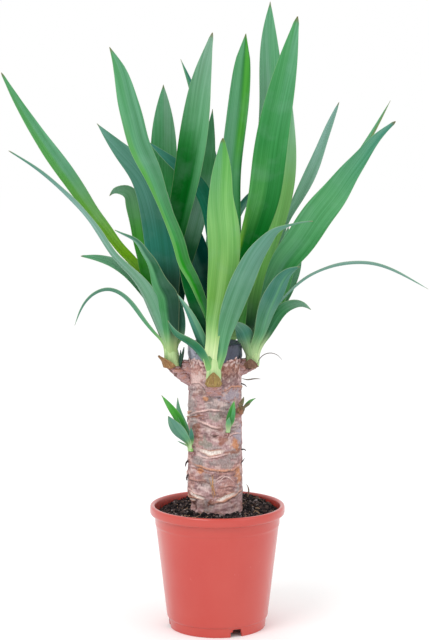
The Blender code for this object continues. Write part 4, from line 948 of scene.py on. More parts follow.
# Each leaf: width, widest place or (share of length, share of width) pairs, azimuth its inner face looks
# to, twist, fold, midrib; greens from low to tip on the half before the rib and on the half past it; and
# stripes: from and to across (-1 to 1), from and to along (0 to 1), and the green. These greens hold
# painted shade as well as leaf colour: dark lows deep in the heads, a darker half where it is turned
# from the light, and dark stripes. The pale stripes and halves are partly painted light.
HEADS = {
    "left": (
        ((25, ((0, 0.4), (0.2, 0.45), (0.31, 0.5), (0.42, 0.5), (0.48, 0.6), (0.585, 0.8), (0.66, 0.88),
          (0.7, 0.86), (0.75, 0.76), (0.8, 0.64), (0.86, 0.5), (0.93, 0.32), (1, 0.03)), -52, 0, 20,
          ((-51, -1, 288), (-57, 2, 316), (-70, 4, 353), (-87, 5, 379), (-101, 6, 394), (-112, 6, 409),
           (-124, 6, 424), (-145, 6, 454), (-168, 4, 487), (-187, 2, 516), (-204, 0, 545),
           (-218, -4, 572))),
         "lime lime spring leafy", "lime lime sage leafy", ()),
        ((24, ((0, 0.42), (0.12, 0.62), (0.2, 0.95), (0.25, 1), (0.33, 0.72), (0.42, 0.46), (0.6, 0.42),
          (0.75, 0.37), (0.88, 0.28), (0.95, 0.2), (1, 0.03)), 66, -34, 18,
          ((-50, -10, 289), (-56, -14, 308), (-65, -18, 333), (-79, -22, 360), (-91, -24, 374),
           (-105, -26, 389), (-118, -27, 409), (-140, -28, 438), (-159, -29, 457), (-175, -30, 471),
           (-208, -34, 494))),
         "sage grey mist teal", "grey grey mist steel", ()),
        ((24, ((0, 0.3), (0.2, 0.35), (0.4, 0.55), (0.55, 0.95), (0.75, 0.8), (0.9, 0.42), (1, 0.03)), -42,
          0, 16,
          ((-48, 2, 290), (-58, 6, 317), (-76, 9, 347), (-92, 10, 366), (-107, 9, 377), (-123, 7, 383),
           (-140, 4, 386))),
         "leafy sage sage sage", "leafy sage grey sage", ()),
        ((11, 0.5, 28, 0, 20,
          ((-51, -5, 287), (-57, -8, 298), (-68, -9, 311), (-78, -9, 323), (-88, -10, 337), (-98, -11, 347),
           (-111, -12, 352), (-129, -14, 345), (-145, -18, 317))),
         "spring sage haze steel", "sage haze steel steel", ()),
        ((28, ((0, 0.4), (0.12, 0.5), (0.25, 0.66), (0.36, 0.88), (0.45, 1), (0.51, 0.92), (0.62, 0.55),
          (0.71, 0.5), (0.77, 0.42), (0.82, 0.32), (0.92, 0.2), (1, 0.03)), 82, -35, 16,
          ((-47, -13, 289), (-48, -18, 303), (-49, -22, 318), (-51, -27, 335), (-53, -30, 348),
           (-57, -33, 356), (-63, -37, 373), (-68, -41, 385), (-73, -44, 393), (-77, -46, 400),
           (-84, -48, 407), (-94, -50, 412), (-102, -50, 416))),
         "night night shade steel", "leafy clover leafy mist", ()),
        ((17, ((0, 0.5), (0.3, 0.6), (0.53, 0.7), (0.63, 0.75), (0.73, 0.85), (0.81, 1), (0.86, 1),
          (0.89, 0.7), (0.92, 0.52), (0.957, 0.42), (1, 0.05)), -70, 0, 14,
          ((-47, -6, 290), (-54, -8, 324), (-63, -8, 350), (-73, -8, 368), (-76, -9, 383), (-80, -10, 403),
           (-83, -11, 424), (-86, -12, 441), (-88, -14, 449.5), (-92, -17, 453.5), (-98, -21, 455),
           (-104, -26, 454), (-108, -32, 449))),
         "forest vivid grass grey", "deep vivid grass grey", ()),
        ((36, 0.46, 92, 0, 14,
          ((-48, -10, 292), (-50, -15, 322), (-52, -19, 358), (-56, -23, 399), (-63, -28, 440),
           (-75.5, -33, 471), (-93, -39, 491), (-119, -46, 521))),
         "night night slate steel", "night night slate steel", ((-1.1, 1.1, 0.4, 0.52, "lagoon"),)),
        ((28, 0.74, -90, 0, 14,
          ((-46, 2, 292), (-47, 19, 339), (-51, 35, 400), (-55, 43, 462), (-56, 45, 530), (-56, 46, 561))),
         "night forest clover sage", "night forest clover grey", ()),
        ((30, ((0, 0.4), (0.2, 0.55), (0.38, 0.7), (0.5, 0.86), (0.62, 0.98), (0.7, 1), (0.8, 0.86),
          (0.9, 0.54), (1, 0.03)), -92, 0, 15,
          ((-44, 0, 292), (-46, 4, 341), (-46, 6, 392), (-38.5, 7, 433), (-31, 9, 469), (-25, 12, 506),
           (-21, 14, 534), (-17, 16, 561), (-5, 20, 613))),
         "night forest clover grey", "night forest leafy grey", ((-1.1, 0.5, 0.2, 0.64, "forest"),)),
        ((21, 0.62, -80, 0, 14,
          ((-43, 2, 292), (-41, 21, 329), (-35, 34, 374), (-27, 41, 405), (-17, 45, 447), (-10, 48, 488),
           (-5, 50, 536))),
         "night night clover dusk", "night night clover dusk", ((-1.1, 1.1, 0.55, 0.67, "frost"),)),
        ((11, 0.55, 60, 0, 18,
          ((-41, -4, 286), (-38.5, -5, 303), (-38.5, -6, 327), (-43, -6, 350))),
         "deep teal teal teal", "deep deep teal teal", ()),
        ((24, 0.6, -62, 0, 16,
          ((-48, 4, 290), (-55, 38, 327), (-65, 74, 366), (-72, 106, 401), (-76, 128, 420))),
         "grass leafy sage sage", "grass leafy sage sage", ()),
        ((26, 0.6, -85, 0, 16,
          ((-46, 4, 292), (-48, 36, 338), (-52, 66, 388), (-55, 92, 432), (-57, 110, 465))),
         "deep grass leafy sage", "deep grass leafy sage", ()),
    ),
    "front": (
        ((22, ((0, 0.5), (0.1, 0.4), (0.17, 0.36), (0.26, 0.48), (0.36, 0.62), (0.43, 0.66), (0.51, 0.52),
          (0.585, 0.68), (0.64, 0.95), (0.7, 1), (0.78, 1.04), (0.84, 1), (0.9, 0.78), (0.96, 0.42),
          (1, 0.03)), -76, 0, 18,
          ((-6, -41, 285), (-7, -44, 305), (-9, -46, 328), (-15, -48, 344), (-26, -52, 370),
           (-33, -53, 383), (-38, -56, 401), (-47, -59, 426), (-56, -62, 450), (-65, -65, 474),
           (-76, -67, 498), (-83, -70, 524), (-88, -72, 544), (-94.5, -75, 571), (-104, -80, 594))),
         "vivid vivid sage leafy", "shade fern dusk sage", ((-1.1, -0.5, 0.22, 0.72, "spring"),)),
        ((34, ((0, 0.5), (0.13, 0.42), (0.2, 0.38), (0.29, 0.6), (0.41, 0.86), (0.51, 0.93), (0.62, 1),
          (0.7, 0.9), (0.76, 0.72), (0.86, 0.6), (0.94, 0.35), (1, 0.03)), -90, 0, 13,
          ((-8, -45, 279), (-6, -52, 301), (-4, -56, 319), (0, -59, 341), (4, -61, 370), (6, -65, 395),
           (5, -69, 421), (3, -73, 447), (4, -79, 476), (5, -88, 507))),
         "pear meadow pear leafy", "meadow meadow pear spring", ((-0.25, 0.2, 0.12, 0.5, "pale"),)),
        ((36, ((0, 0.4), (0.1, 0.4), (0.3, 0.54), (0.42, 0.76), (0.52, 0.95), (0.63, 0.98), (0.7, 0.92),
          (0.8, 0.78), (0.9, 0.5), (0.96, 0.26), (1, 0.03)), -92, 0, 16,
          ((-2, -39, 272), (2, -39, 300), (10, -38, 335), (19, -35, 365), (28, -32, 388), (37, -30, 414),
           (46, -28, 445), (51, -28, 479), (56, -28, 515), (66, -30, 565), (79, -34, 626))),
         "lime spring clover leafy", "forest forest clover sage",
         ((-0.8, 1.1, 0.2, 0.43, "forest"), (-1.1, -0.7, 0.1, 0.38, "lime"))),
        ((26, ((0, 0.45), (0.2, 0.45), (0.3, 0.8), (0.4, 0.95), (0.5, 1), (0.62, 0.82), (0.71, 0.66),
          (0.78, 0.36), (0.82, 0.2), (0.87, 0.09), (0.94, 0.07), (1, 0.03)), 118, -20, 14,
          ((2, -42, 277), (5, -49, 294), (8, -56, 311), (16, -67, 341), (27, -77, 371), (37, -86, 393),
           (47, -93, 408), (56, -100, 418), (63, -105, 422), (71, -112, 425), (82, -120, 428),
           (90, -126, 429))),
         "leafy dusk haze steel", "leafy dusk haze steel", ()),
        ((12, 0.5, 60, 0, 20,
          ((-9, -43, 272), (-16, -52, 291), (-29, -60, 305), (-42, -66, 315), (-49, -70, 328))),
         "fern jade pine steel", "leafy jade jade deep", ()),
        ((12, 0.36, 75, 0, 18,
          ((-8, -44, 276), (-14, -53, 300), (-22, -58, 321), (-30, -61, 338), (-40, -63, 354))),
         "fern shade dusk grey", "shade shade teal teal", ()),
        ((15, 0.5, -66, 0, 14,
          ((-9, -40, 297), (-14, -42, 310), (-19, -44, 326), (-23, -46, 341), (-28, -47, 355),
           (-34, -48, 372), (-40, -50, 389))),
         "shade night deep deep", "shade night deep deep", ()),
    ),
    "right": (
        ((28, 0.66, -95, 0, 14,
          ((33, 0, 288), (34, 3, 310), (39, 8, 346), (47, 10, 380), (54, 12, 407), (61, 14, 434),
           (66.3, 16, 463), (69.3, 18, 494), (72.5, 20, 533), (75, 22, 552))),
         "night fresh pear pale", "night fresh pear frost", ()),
        ((14, ((0, 0.5), (0.3, 0.5), (0.5, 0.5), (0.57, 0.6), (0.64, 0.85), (0.7, 1), (0.75, 0.95),
          (0.85, 0.62), (0.93, 0.5), (1, 0.03)), -92, 0, 14,
          ((37, 2, 288), (46, 11, 319), (54, 18, 360), (62, 22, 394), (70, 24, 419), (81, 26, 440),
           (93, 28, 463), (103, 30, 486), (112, 32, 510), (125.5, 34, 543))),
         "grass frost frost mist", "grass frost frost mist", ()),
        ((35, ((0, 0.36), (0.1, 0.36), (0.22, 0.48), (0.32, 0.68), (0.42, 0.9), (0.52, 1), (0.62, 0.95),
          (0.7, 0.8), (0.78, 0.58), (0.85, 0.4), (0.92, 0.27), (1, 0.03)), -112, 0, 14,
          ((38, -3, 288), (45, -8, 316), (56, -10, 353), (69, -12, 382), (82.5, -14, 399.5),
           (103, -16, 430), (117.5, -18, 448.5), (132, -20, 470), (144.5, -22, 487), (158, -24, 505),
           (177.5, -28, 523))),
         "leafy leafy leafy steel", "leafy clover leafy teal", ((-0.15, 0.15, 0.12, 0.4, "sage"),)),
        ((9, 0.66, -132, 0, 20,
          ((40, 1, 286), (50, 3, 315), (64, 4, 351), (84, 4, 392), (109, 3, 433), (134, 2, 472),
           (155, 0, 507), (175, 0, 544))),
         "leafy sage leafy sage", "leafy sage leafy olive", ()),
        ((28, ((0, 0.45), (0.13, 0.42), (0.22, 0.48), (0.43, 0.76), (0.6, 1), (0.68, 0.98), (0.78, 0.82),
          (0.86, 0.58), (0.93, 0.35), (1, 0.03)), 118, 0, 16,
          ((37, -7, 284), (40, -14, 296), (44, -18, 306), (51, -26, 330), (60, -32, 352), (67, -36, 367),
           (73, -39, 374), (82, -44, 379))),
         "spring dusk slate teal", "clover dusk slate teal", ((-0.12, 0.08, 0.25, 0.85, "sage"),)),
        ((16, 0.55, 118, 0, 16,
          ((41, -3, 284), (48, -5, 300), (56, -7, 317), (66, -9, 331), (76, -11, 337), (86, -14, 338),
           (95, -17, 333))),
         "night shade pine grey", "night shade pine grey", ()),
        ((9, 0.65, 175, 0, 24,
          ((40, 3, 286), (49, 8, 307), (62, 12, 333), (77, 14, 350), (99, 16, 366), (132, 18, 376),
           (163, 20, 375.5), (192, 22, 364.5), (219, 24, 350))),
         "steel mist mist mist", "teal mist mist mist", ()),
        ((22, 0.36, 60, 0, 18,
          ((30, -8, 280), (29, -14, 296), (25, -21, 312), (14, -28, 323))),
         "leafy fern teal grey", "sage teal teal grey", ()),
        ((24, 0.6, -112, 0, 16,
          ((38, 4, 286), (55, 34, 318), (74, 66, 350), (91, 96, 376))),
         "grass leafy sage sage", "grass leafy sage sage", ()),
        ((26, 0.6, -95, 0, 16,
          ((38, 6, 290), (55, 32, 326), (69, 61, 370), (76, 88, 411))),
         "deep grass leafy sage", "deep grass leafy sage", ()),
    ),
    "back": (
        ((16, 0.6, -60, 0, 16,
          ((4, 40, 296), (2, 46, 337), (0, 56, 399), (-4, 62, 462), (-15, 66, 514), (-26.5, 68, 556),
           (-38.5, 70, 588))),
         "deep teal teal sage", "night teal teal teal", ()),
        ((23.5, ((0, 0.5), (0.3, 0.8), (0.5, 0.92), (0.7, 0.96), (0.8, 0.94), (0.87, 0.85), (0.93, 0.66),
          (0.975, 0.34), (1, 0.03)), -90, 0, 16,
          ((6, 38, 296), (9, 36, 338), (13, 33, 378), (15, 30, 406), (14, 28, 437), (14, 26, 473),
           (18, 24, 512), (22, 22, 545), (26, 20, 585), (29, 20, 612))),
         "leafy leafy sage leafy", "deep clover leafy deep",
         ((0.2, 0.9, 0.64, 0.99, "grass"), (0.82, 1.1, 0.3, 0.64, "pine"))),
        ((25, 0.75, -90, 0, 14,
          ((7, 40, 294), (15, 44, 318), (29, 50, 357), (41, 54, 404), (47, 56, 446), (50, 56, 483),
           (54, 56, 514), (56, 56, 556), (54, 58, 607), (55, 61, 647))),
         "deep clover grey sage", "deep clover leafy sage", ()),
        ((20, 0.6, -60, 0, 16,
          ((5, 36, 291), (1, 33, 338), (-4, 30, 396), (-10, 28, 434), (-22, 26, 459), (-45, 26, 480),
           (-72, 28, 503))),
         "jade jade jade teal", "night jade jade teal", ()),
        ((10, 0.6, -110, 0, 16,
          ((7, 42, 292), (9, 50, 336), (12, 60, 383), (20, 68, 422), (34, 73, 443), (56, 79, 460),
           (72, 84, 471))),
         "deep teal teal teal", "deep teal steel grey", ()),
        ((28, 0.5, -62, 0, 14,
          ((3, 40, 290), (-7, 50, 323), (-15, 62, 359), (-26, 72, 395), (-38, 80, 426), (-53, 88, 459))),
         "night petrol steel teal", "night night petrol teal", ()),
        ((30, ((0, 0.7), (0.15, 0.8), (0.3, 0.6), (0.6, 0.5), (0.85, 0.4), (1, 0.03)), -100, 0, 14,
          ((8, 39, 290), (17, 41, 297), (21, 44, 305), (22, 46, 315), (25, 48, 328), (30, 52, 347),
           (38, 54, 372), (50, 58, 400), (60, 62, 430))),
         "spring spring leafy sage", "spring spring leafy sage", ()),
        ((26, 0.6, -90, 0, 16,
          ((4, 44, 290), (2, 74, 325), (0, 104, 363), (-4, 126, 396), (-8, 137, 420))),
         "grass leafy sage sage", "grass leafy sage sage", ()),
        ((24, 0.6, -55, 0, 16,
          ((2, 42, 288), (-11, 66, 315), (-27, 95, 346), (-43, 120, 368))),
         "fresh leafy sage steel", "fresh leafy sage steel", ()),
        ((24, 0.6, -125, 0, 16,
          ((8, 42, 288), (19, 68, 318), (32, 97, 353), (46, 124, 380))),
         "grass leafy sage sage", "grass leafy sage sage", ()),
        ((26, 0.6, -90, 0, 14,
          ((6, 44, 296), (9, 60, 336), (10, 77, 398), (9, 88, 451))),
         "deep grass leafy sage", "deep grass leafy sage", ()),
    ),
}


def smooth_path(points, stations=None):
    """Evenly spaced points on a natural cubic spline through the given ones, and how far along each is."""
    given = np.array(points, dtype=float)
    knots = np.concatenate(([0.0], np.cumsum(np.linalg.norm(np.diff(given, axis=0), axis=1))))
    gaps = np.diff(knots)
    count = len(given)
    system = np.eye(count)
    bends = np.zeros((count, 3))
    for i in range(1, count - 1):
        system[i, i - 1:i + 2] = (gaps[i - 1], 2.0 * (gaps[i - 1] + gaps[i]), gaps[i])
        bends[i] = 6.0 * ((given[i + 1] - given[i]) / gaps[i] - (given[i] - given[i - 1]) / gaps[i - 1])
    curve = np.linalg.solve(system, bends)
    fine = []
    for i in range(count - 1):
        for part in np.linspace(0.0, 1.0, 16, endpoint=(i == count - 2)):
            a, b, h = 1.0 - part, part, gaps[i]
            fine.append(a * given[i] + b * given[i + 1]
                        + ((a ** 3 - a) * curve[i] + (b ** 3 - b) * curve[i + 1]) * h * h / 6.0)
    fine = np.array(fine)
    run = np.concatenate(([0.0], np.cumsum(np.linalg.norm(np.diff(fine, axis=0), axis=1))))
    if stations is None:
        stations = int(np.clip(run[-1] / LEAF_STEP, 22, 110))
    wanted = np.linspace(0.0, run[-1], stations)
    return np.stack([np.interp(wanted, run, fine[:, axis]) for axis in range(3)], axis=1), wanted


def leaf_widths(shares, widest):
    """Width at each share of a leaf's length, as a part of its greatest."""
    if isinstance(widest, tuple):
        parts = np.interp(shares, *zip(*widest))
        reach = max(1, len(shares) // 24)
        for _ in range(2):
            padded = np.concatenate((np.full(reach, parts[0]), parts, parts[-1] - np.zeros(reach)))
            parts = np.convolve(padded, np.ones(2 * reach + 1) / (2 * reach + 1), "valid")
        return np.minimum(parts, 0.03 + 8.0 * (1.0 - shares))
    rise = np.clip((shares - LEAF_RISE) / (widest - LEAF_RISE), 0.0, 1.0)
    swell = LEAF_NECK + (1.0 - LEAF_NECK) * rise * rise * (3.0 - 2.0 * rise)
    fall = 1.0 - np.clip((shares - widest) / (1.0 - widest), 0.0, 1.0) ** LEAF_TIP_POWER
    return np.where(shares < widest, swell, fall)


def leaf_frames(path, faces_to, twist):
    """Directions along, across and out of the inner face at each point, carried along the leaf."""
    azimuth = math.radians(faces_to)
    out = np.array((math.cos(azimuth), math.sin(azimuth), 0.0))
    sides, outs = [], []
    for i, step in enumerate(np.gradient(path, axis=0)):
        ahead = step / np.linalg.norm(step)
        out = out - ahead * np.dot(out, ahead)
        out /= np.linalg.norm(out)
        side = np.cross(ahead, out)
        turn = math.radians(twist) * i / (len(path) - 1)
        sides.append(side * math.cos(turn) - out * math.sin(turn))
        outs.append(out * math.cos(turn) + side * math.sin(turn))
    return np.array(sides), np.array(outs)


def greens(names, shares, tip_tone):
    """Colours along a leaf, from its greens at four places and the dry tone of its very tip."""
    stops = np.array([paint(*GREENS[name]) for name in names.split()] + [paint(*tip_tone)])
    return np.stack([np.interp(shares, GREENS_AT, stops[:, axis]) for axis in range(4)], axis=-1)


def two_sided(rows, across, *layers):
    """Close a thin skin round its edges: gives its faces, and each (front, back) layer as one list."""
    count = 2 * across
    faces = ring_faces(rows, count)
    last = (rows - 1) * count
    for j in range(across - 1):
        corners = (j, j + 1, count - 2 - j, count - 1 - j)
        faces.append(corners[::-1])
        faces.append(tuple(last + c for c in corners))
    joined = [np.concatenate((front, back[:, ::-1]), axis=1) for front, back in layers]
    return (faces, *[layer.reshape(rows * count, -1) for layer in joined])


def leaf_skin(crown, above, core, row, lane, pale, base, clasp=(6.0, 34.0), start=None):
    """One leaf as a closed skin. Gives points, faces, colours, grain places and distances to the margin."""
    (width, widest, faces_to, twist, fold, points), before_rib, past_rib, stripes = row
    crown, above = np.array(crown), np.array(above)
    start = crown + (above - crown) * LEAF_START if start is None else start
    path, run = smooth_path([start, *points])
    shares = run / run[-1]
    half = np.maximum(0.25, 0.5 * width * leaf_widths(shares, widest))
    bend = np.radians(fold * (1.5 - 0.8 * shares))
    sides, outs = leaf_frames(path, faces_to, twist)
    even = np.linspace(-1.0, 1.0, LEAF_ACROSS)
    u = 0.5 * np.sin(even * math.pi / 2.0) + 0.5 * even
    soft = LEAF_RIB_SOFTNESS
    dish = (np.sqrt(u * u + soft * soft) - soft) / (math.sqrt(1.0 + soft * soft) - soft)
    ripple = np.array([[noise.noise((s / 34.0, v * 0.9, lane * 7.3)) for v in u] for s in run])
    flutter = np.array([math.sin(s / 11.0 + lane) * noise.noise((s / 50.0, lane, 2.0)) for s in run])
    waves = 0.5 * ripple + 1.1 * flutter[:, None] * u ** 3 * np.abs(u)
    lift = half[:, None] * np.sin(bend)[:, None] * dish
    lift += np.minimum(1.0, half / 8.0)[:, None] * waves
    spread = half[:, None] * np.cos(bend)[:, None] * u
    thick = (LEAF_RIB_THICKNESS * (1.0 - 0.55 * shares[:, None]) * (1.0 - np.abs(u) ** 1.4)
             + LEAF_EDGE_THICKNESS * np.abs(u) ** 1.4) * np.minimum(1.0, half / 2.0 + 0.35)[:, None]
    middle = path[:, None, :] + sides[:, None, :] * spread[..., None] + outs[:, None, :] * lift[..., None]
    shift = outs[:, None, :] * (0.5 * thick)[..., None]
    inner, outer = middle + shift, middle - shift

    height = path[:, 2] - crown[2]
    free = soft_step(height, *clasp)
    chord = path[-1] - path[0]
    lean = math.acos(chord[2] / np.linalg.norm(chord)) / (math.pi / 2.0)
    radius = core * (0.5 + 0.5 * min(1.0, lean)) + 0.3 * (lane % 3)
    wrap = np.minimum(1.35, np.maximum(half, 0.36 * width) / radius)
    up = height / (above[2] - crown[2])
    axis = crown[:2] + (above - crown)[:2] * up[:, None]
    angle = math.radians(faces_to) + math.pi - wrap[:, None] * u
    base_height = path[:, 2] - (start[2] - crown[2] - 0.5) * (1.0 - free)
    for sheet, proud in ((inner, -0.5), (outer, 0.5)):
        reach = radius + proud * thick
        clasped = np.stack((axis[:, None, 0] + reach * np.cos(angle),
                            axis[:, None, 1] + reach * np.sin(angle),
                            np.broadcast_to(base_height[:, None], reach.shape)), axis=-1)
        sheet += (clasped - sheet) * (1.0 - free)[:, None, None]

    share_grid = np.broadcast_to(shares[:, None], spread.shape)
    # The greens of the two halves and the stripes paint shade and light on the leaf as well as its colour.
    past = soft_step(u, -0.12, 0.12)[None, :, None]
    tone = greens(before_rib, share_grid, GREENS["brown"]) * (1.0 - past)
    tone += greens(past_rib, share_grid, GREENS["brown"]) * past
    for low, high, first, last, name in stripes:
        across = soft_step(u, low - 0.12, low + 0.12) * (1.0 - soft_step(u, high - 0.12, high + 0.12))
        along = soft_step(shares, first - 0.1, first + 0.06)
        along = along * (1.0 - soft_step(shares, last - 0.06, last + 0.12))
        on = (across[None, :] * along[:, None])[..., None]
        tone = tone * (1.0 - on) + np.array(paint(*GREENS[name])) * on
    young = (1.0 - soft_step(run, *pale))[:, None, None]
    tone = tone * (1.0 - young) + np.array(paint(*GREENS[base])) * young
    back = tone * (1.0 - BACK_GREY_SHARE) + np.array(paint(*GREENS["grey"])) * BACK_GREY_SHARE

    margin = half[:, None] * (1.0 - np.abs(u))
    run_grid = np.broadcast_to(run[:, None], spread.shape)
    place = np.stack((spread * MM + LANE_SHIFT * lane, run_grid * MM), axis=-1)
    layers = ((inner, outer), (tone, back), (place, place + BACK_SHIFT), (margin, margin))
    faces, verts, tones, places, margins = two_sided(len(path), LEAF_ACROSS, *layers)
    return verts, faces, tones, places, margins.ravel()


def core_skin(crown, above, core, tone, sides=28, rows=14):
    """The short core that the youngest leaf bases make, a little fluted."""
    verts, places = [], []
    for i in range(rows):
        share = i / (rows - 1)
        middle = np.array(crown) + (np.array(above) - np.array(crown)) * share
        radius = 0.9 * core * float(np.interp(share, (0.0, 0.3, 0.65, 1.0), (1.0, 1.0, 0.72, 0.3)))
        for a in ring_angles(sides):
            reach = radius * (1.0 + 0.05 * math.sin(5.0 * a + 3.0 * share))
            verts.append(around(reach, a, middle[2] + 0.2, middle))
            places.append((a * core * MM, share * GRAIN_ON_STUBS))
    margins = np.full(len(verts), NO_MARGIN)
    return np.array(verts), tube_faces(rows, sides), dyed(verts, GREENS[tone]), np.array(places), margins


blade = Finish("yucca_leaf", Roughness=0.42, Specular_IOR_Level=0.1, IOR=1.25)
vein = fibres(blade, 1300.0, 9.0, 2.0)
streak = fibres(blade, 300.0, 5.0, 3.0)
bloom = blade.grain(46.0, 4.0)
blade_colour = blade.touch(blade.drawn("tone", True), paint(*BLADE_VEIN), vein, 0.4, 0.62, 0.5, "MULTIPLY")
blade_colour = blade.touch(blade_colour, STREAK_LIGHT, streak, 0.5, 0.74, 1.0, "MULTIPLY")
blade_colour = blade.touch(blade_colour, STREAK_DARK, streak, 0.5, 0.28, 1.0, "MULTIPLY")
blade_colour = blade.touch(blade_colour, paint(*BLADE_BLOOM), bloom, 0.5, 0.85, 0.18)
margin_share = blade.spread(blade.drawn("edge"), 0.12, 0.5, 0.3, 0.0)
blade_colour = blade.mix(margin_share, blade_colour, paint(*BLADE_MARGIN))
blade_relief = blade.bump(streak, 0.16, 0.5, blade.bump(vein, 0.07, 0.5))
blade.coat(blade_colour, blade.spread(bloom, 0.3, 0.7, 0.36, 0.52), blade_relief)


def leafy_piece(name, skins, finish, slot, node):
    """Join leaf skins in one piece, with their colours, grain and margins, just inside the solids' box."""
    lowest, highest = np.array(cad_box) / MM
    inside = [(np.clip(skin[0], lowest + 0.05, highest - 0.05), *skin[1:]) for skin in skins]
    made = toned_piece(name, inside, finish, LEAF_CREASE)
    write_points(made.data, "edge", np.concatenate([skin[4] for skin in skins]))
    write_grain(made.data, np.concatenate([skin[3] for skin in skins]))
    settle(made, slot, node)


for side, (crown, above, core) in CROWNS.items():
    skins = [core_skin(crown, above, core, "milk")]
    for lane, row in enumerate(HEADS[side]):
        palest = (side, lane) == PALEST_LEAF
        pale, base = (PALEST_FOOT, "cream") if palest else (PALE_FOOT, HEAD_BASES[side])
        skins.append(leaf_skin(crown, above, core, row, lane, pale, base))
    leafy_piece("leaf_head_" + side, skins, blade.material, "leaf", "head_" + side)

# Two young shoots have broken from the bark on the trunk's left side and its front. They are leaves
# like those above, but small, soft and close together on a woody knob.
SHOOTS = {
    "left": (
        ((17, 0.55, 60, 0, 12, ((-29, -23, 194), (-37, -27, 205), (-45, -29, 216.5), (-50, -30, 226))),
         "leafy sage haze steel", "leafy haze haze grey", ()),
        ((9, 0.50, -70, 0, 16, ((-30, -21, 196), (-38, -22, 218), (-47, -22, 232), (-57, -22, 246))),
         "grass fern grass spring", "fern fern grass spring", ()),
        ((8, 0.45, -60, 0, 16, ((-29, -21, 198), (-35, -20, 216), (-40, -19, 231), (-40.5, -19, 243))),
         "leafy leafy sage grey", "leafy sage sage grey", ()),
        ((5, 0.50, 30, 0, 16, ((-29, -23, 192), (-33, -26, 195), (-41, -28, 200))),
         "leafy clover teal steel", "leafy clover dusk steel", ()),
        ((6, 0.50, -60, 0, 16, ((-27, -23, 196), (-27, -26, 206), (-27, -28, 214))),
         "sage deep teal teal", "sage deep teal teal", ()),
    ),
    "front": (
        ((9, 0.42, -90, 0, 14, ((11, -33, 213), (13, -35, 224), (15, -37, 234), (17, -38, 243))),
         "grass fern fern spring", "fern fern leafy spring", ()),
        ((6, 0.40, 90, 0, 14, ((11, -34, 213), (11, -37, 220), (12, -39, 226))),
         "fern fern leafy leafy", "fern fern leafy leafy", ()),
    ),
}


SHOOT_LANE = 40


def shoot_skins(seat_top, radius, rows, base, tone):
    """A small tuft of leaves on its seat."""
    x, y, z = seat_top
    crown, above = (x, y, z + 0.3), (x * 1.06, y * 1.06, z + 7.0)
    skins = [core_skin(crown, above, radius * 0.95, tone, 16, 8)]
    for lane, row in enumerate(rows):
        skins.append(leaf_skin(crown, above, radius * 0.85, row, lane + SHOOT_LANE, (3.0, 14.0), base,
                               (1.5, 9.0), np.array((x * 1.02, y * 1.02, z + 2.0))))
    return skins


for side, rows in SHOOTS.items():
    skins = shoot_skins(*SEATS[side], rows, "milk", "pale")
    leafy_piece("young_shoot_" + side, skins, blade.material, "leaf", "shoot_" + side)

# Dry sheaths are what is left of old leaf bases: thin brown shells that clasp the foot of a head,
# split and curled along their edges. The left, front and right heads still carry one each.
# Each sheath: azimuth, half angle, (reach, height) at its foot, middle and tip, light and dark brown.
SHEATHS = {
    "left": (-146.0, 80.0, ((9.1, -1.6), (10.8, 4.4), (15.8, 11.6)), (176, 138, 88), (128, 86, 52)),
    "front": (-90.0, 58.0, ((9.4, 0.2), (10.2, 6.5), (12.0, 15.5)), (170, 158, 88), (132, 92, 56)),
    "right": (-96.0, 46.0, ((9.5, -1.0), (9.9, 4.0), (11.0, 9.0)), (150, 116, 96), (104, 76, 64)),
}
SHEATH_TIP_SPREAD = 4.0
SHEATH_ROWS = 22
SHEATH_ACROSS = 21
SHEATH_THICKNESS = 0.75
SHEATH_DARK_FIBRE = (78, 54, 40)
SHEATH_PALE_FLECK = (190, 160, 116)


def sheath_skin(crown, middle, half_width, steps, light, dark, lane, thickness):
    """A dry shell round a crown's axis, ragged at its edges."""
    u = np.linspace(-1.0, 1.0, SHEATH_ACROSS)
    inner, outer, tones, places = [], [], [], []
    for i in range(SHEATH_ROWS):
        share = i / (SHEATH_ROWS - 1)
        reach, height = [float(np.interp(share, (0.0, 0.5, 1.0), part)) for part in zip(*steps)]
        ragged = 1.0 + 0.12 * noise.noise((share * 6.0, lane, 1.0))
        narrowing = (1.0 - share ** 1.6) * min(1.0, 0.62 + 2.2 * share)
        spread = (half_width * narrowing + SHEATH_TIP_SPREAD) * ragged
        for v in u:
            angle = math.radians(middle + spread * v + 3.0 * noise.noise((share * 5.0, lane, v)) * abs(v))
            curl = 0.7 * abs(v) ** 3 * share + 0.25 * noise.noise((v * 6.0, share * 2.0, lane))
            fray = 1.0 * noise.noise((v * 8.0, lane, 5.0)) * share * (1.0 - abs(v))
            for rim, points in ((0.0, inner), (thickness * (1.0 - 0.4 * abs(v)), outer)):
                points.append(around(reach + rim + curl, angle, crown[2] + height + fray, crown))
            fibre_tone = 0.5 + 0.5 * noise.noise((v * 7.0, share * 0.7, lane * 2.0))
            mixed = [a * fibre_tone + b * (1.0 - fibre_tone) for a, b in zip(light, dark)]
            tones.append(paint(*mixed))
            places.append((v * half_width * 0.00017 + 0.09 * lane, share * 0.016))
    inner, outer, tones, places = [np.array(layer).reshape(SHEATH_ROWS, SHEATH_ACROSS, -1)
                                   for layer in (inner, outer, tones, places)]
    faces, verts, tones, places = two_sided(
        SHEATH_ROWS, SHEATH_ACROSS, (outer, inner), (tones, tones), (places, places))
    return verts, faces, tones, places, np.full(len(verts), NO_MARGIN)


husk = Finish("dry_sheath", Roughness=0.75, Specular_IOR_Level=0.3)
husk_fibre = fibres(husk, 1500.0, 120.0, 4.0)
husk_colour = husk.touch(husk.drawn("tone", True), paint(*SHEATH_DARK_FIBRE), husk_fibre, 0.4, 0.65, 0.6)
husk_colour = husk.touch(husk_colour, paint(*SHEATH_PALE_FLECK), husk.grain(420.0, 4.0), 0.55, 0.7, 0.5)
husk.coat(husk_colour, husk.spread(husk_fibre, 0.3, 0.7, 0.6, 0.85), husk.bump(husk_fibre, 0.25, 0.8))

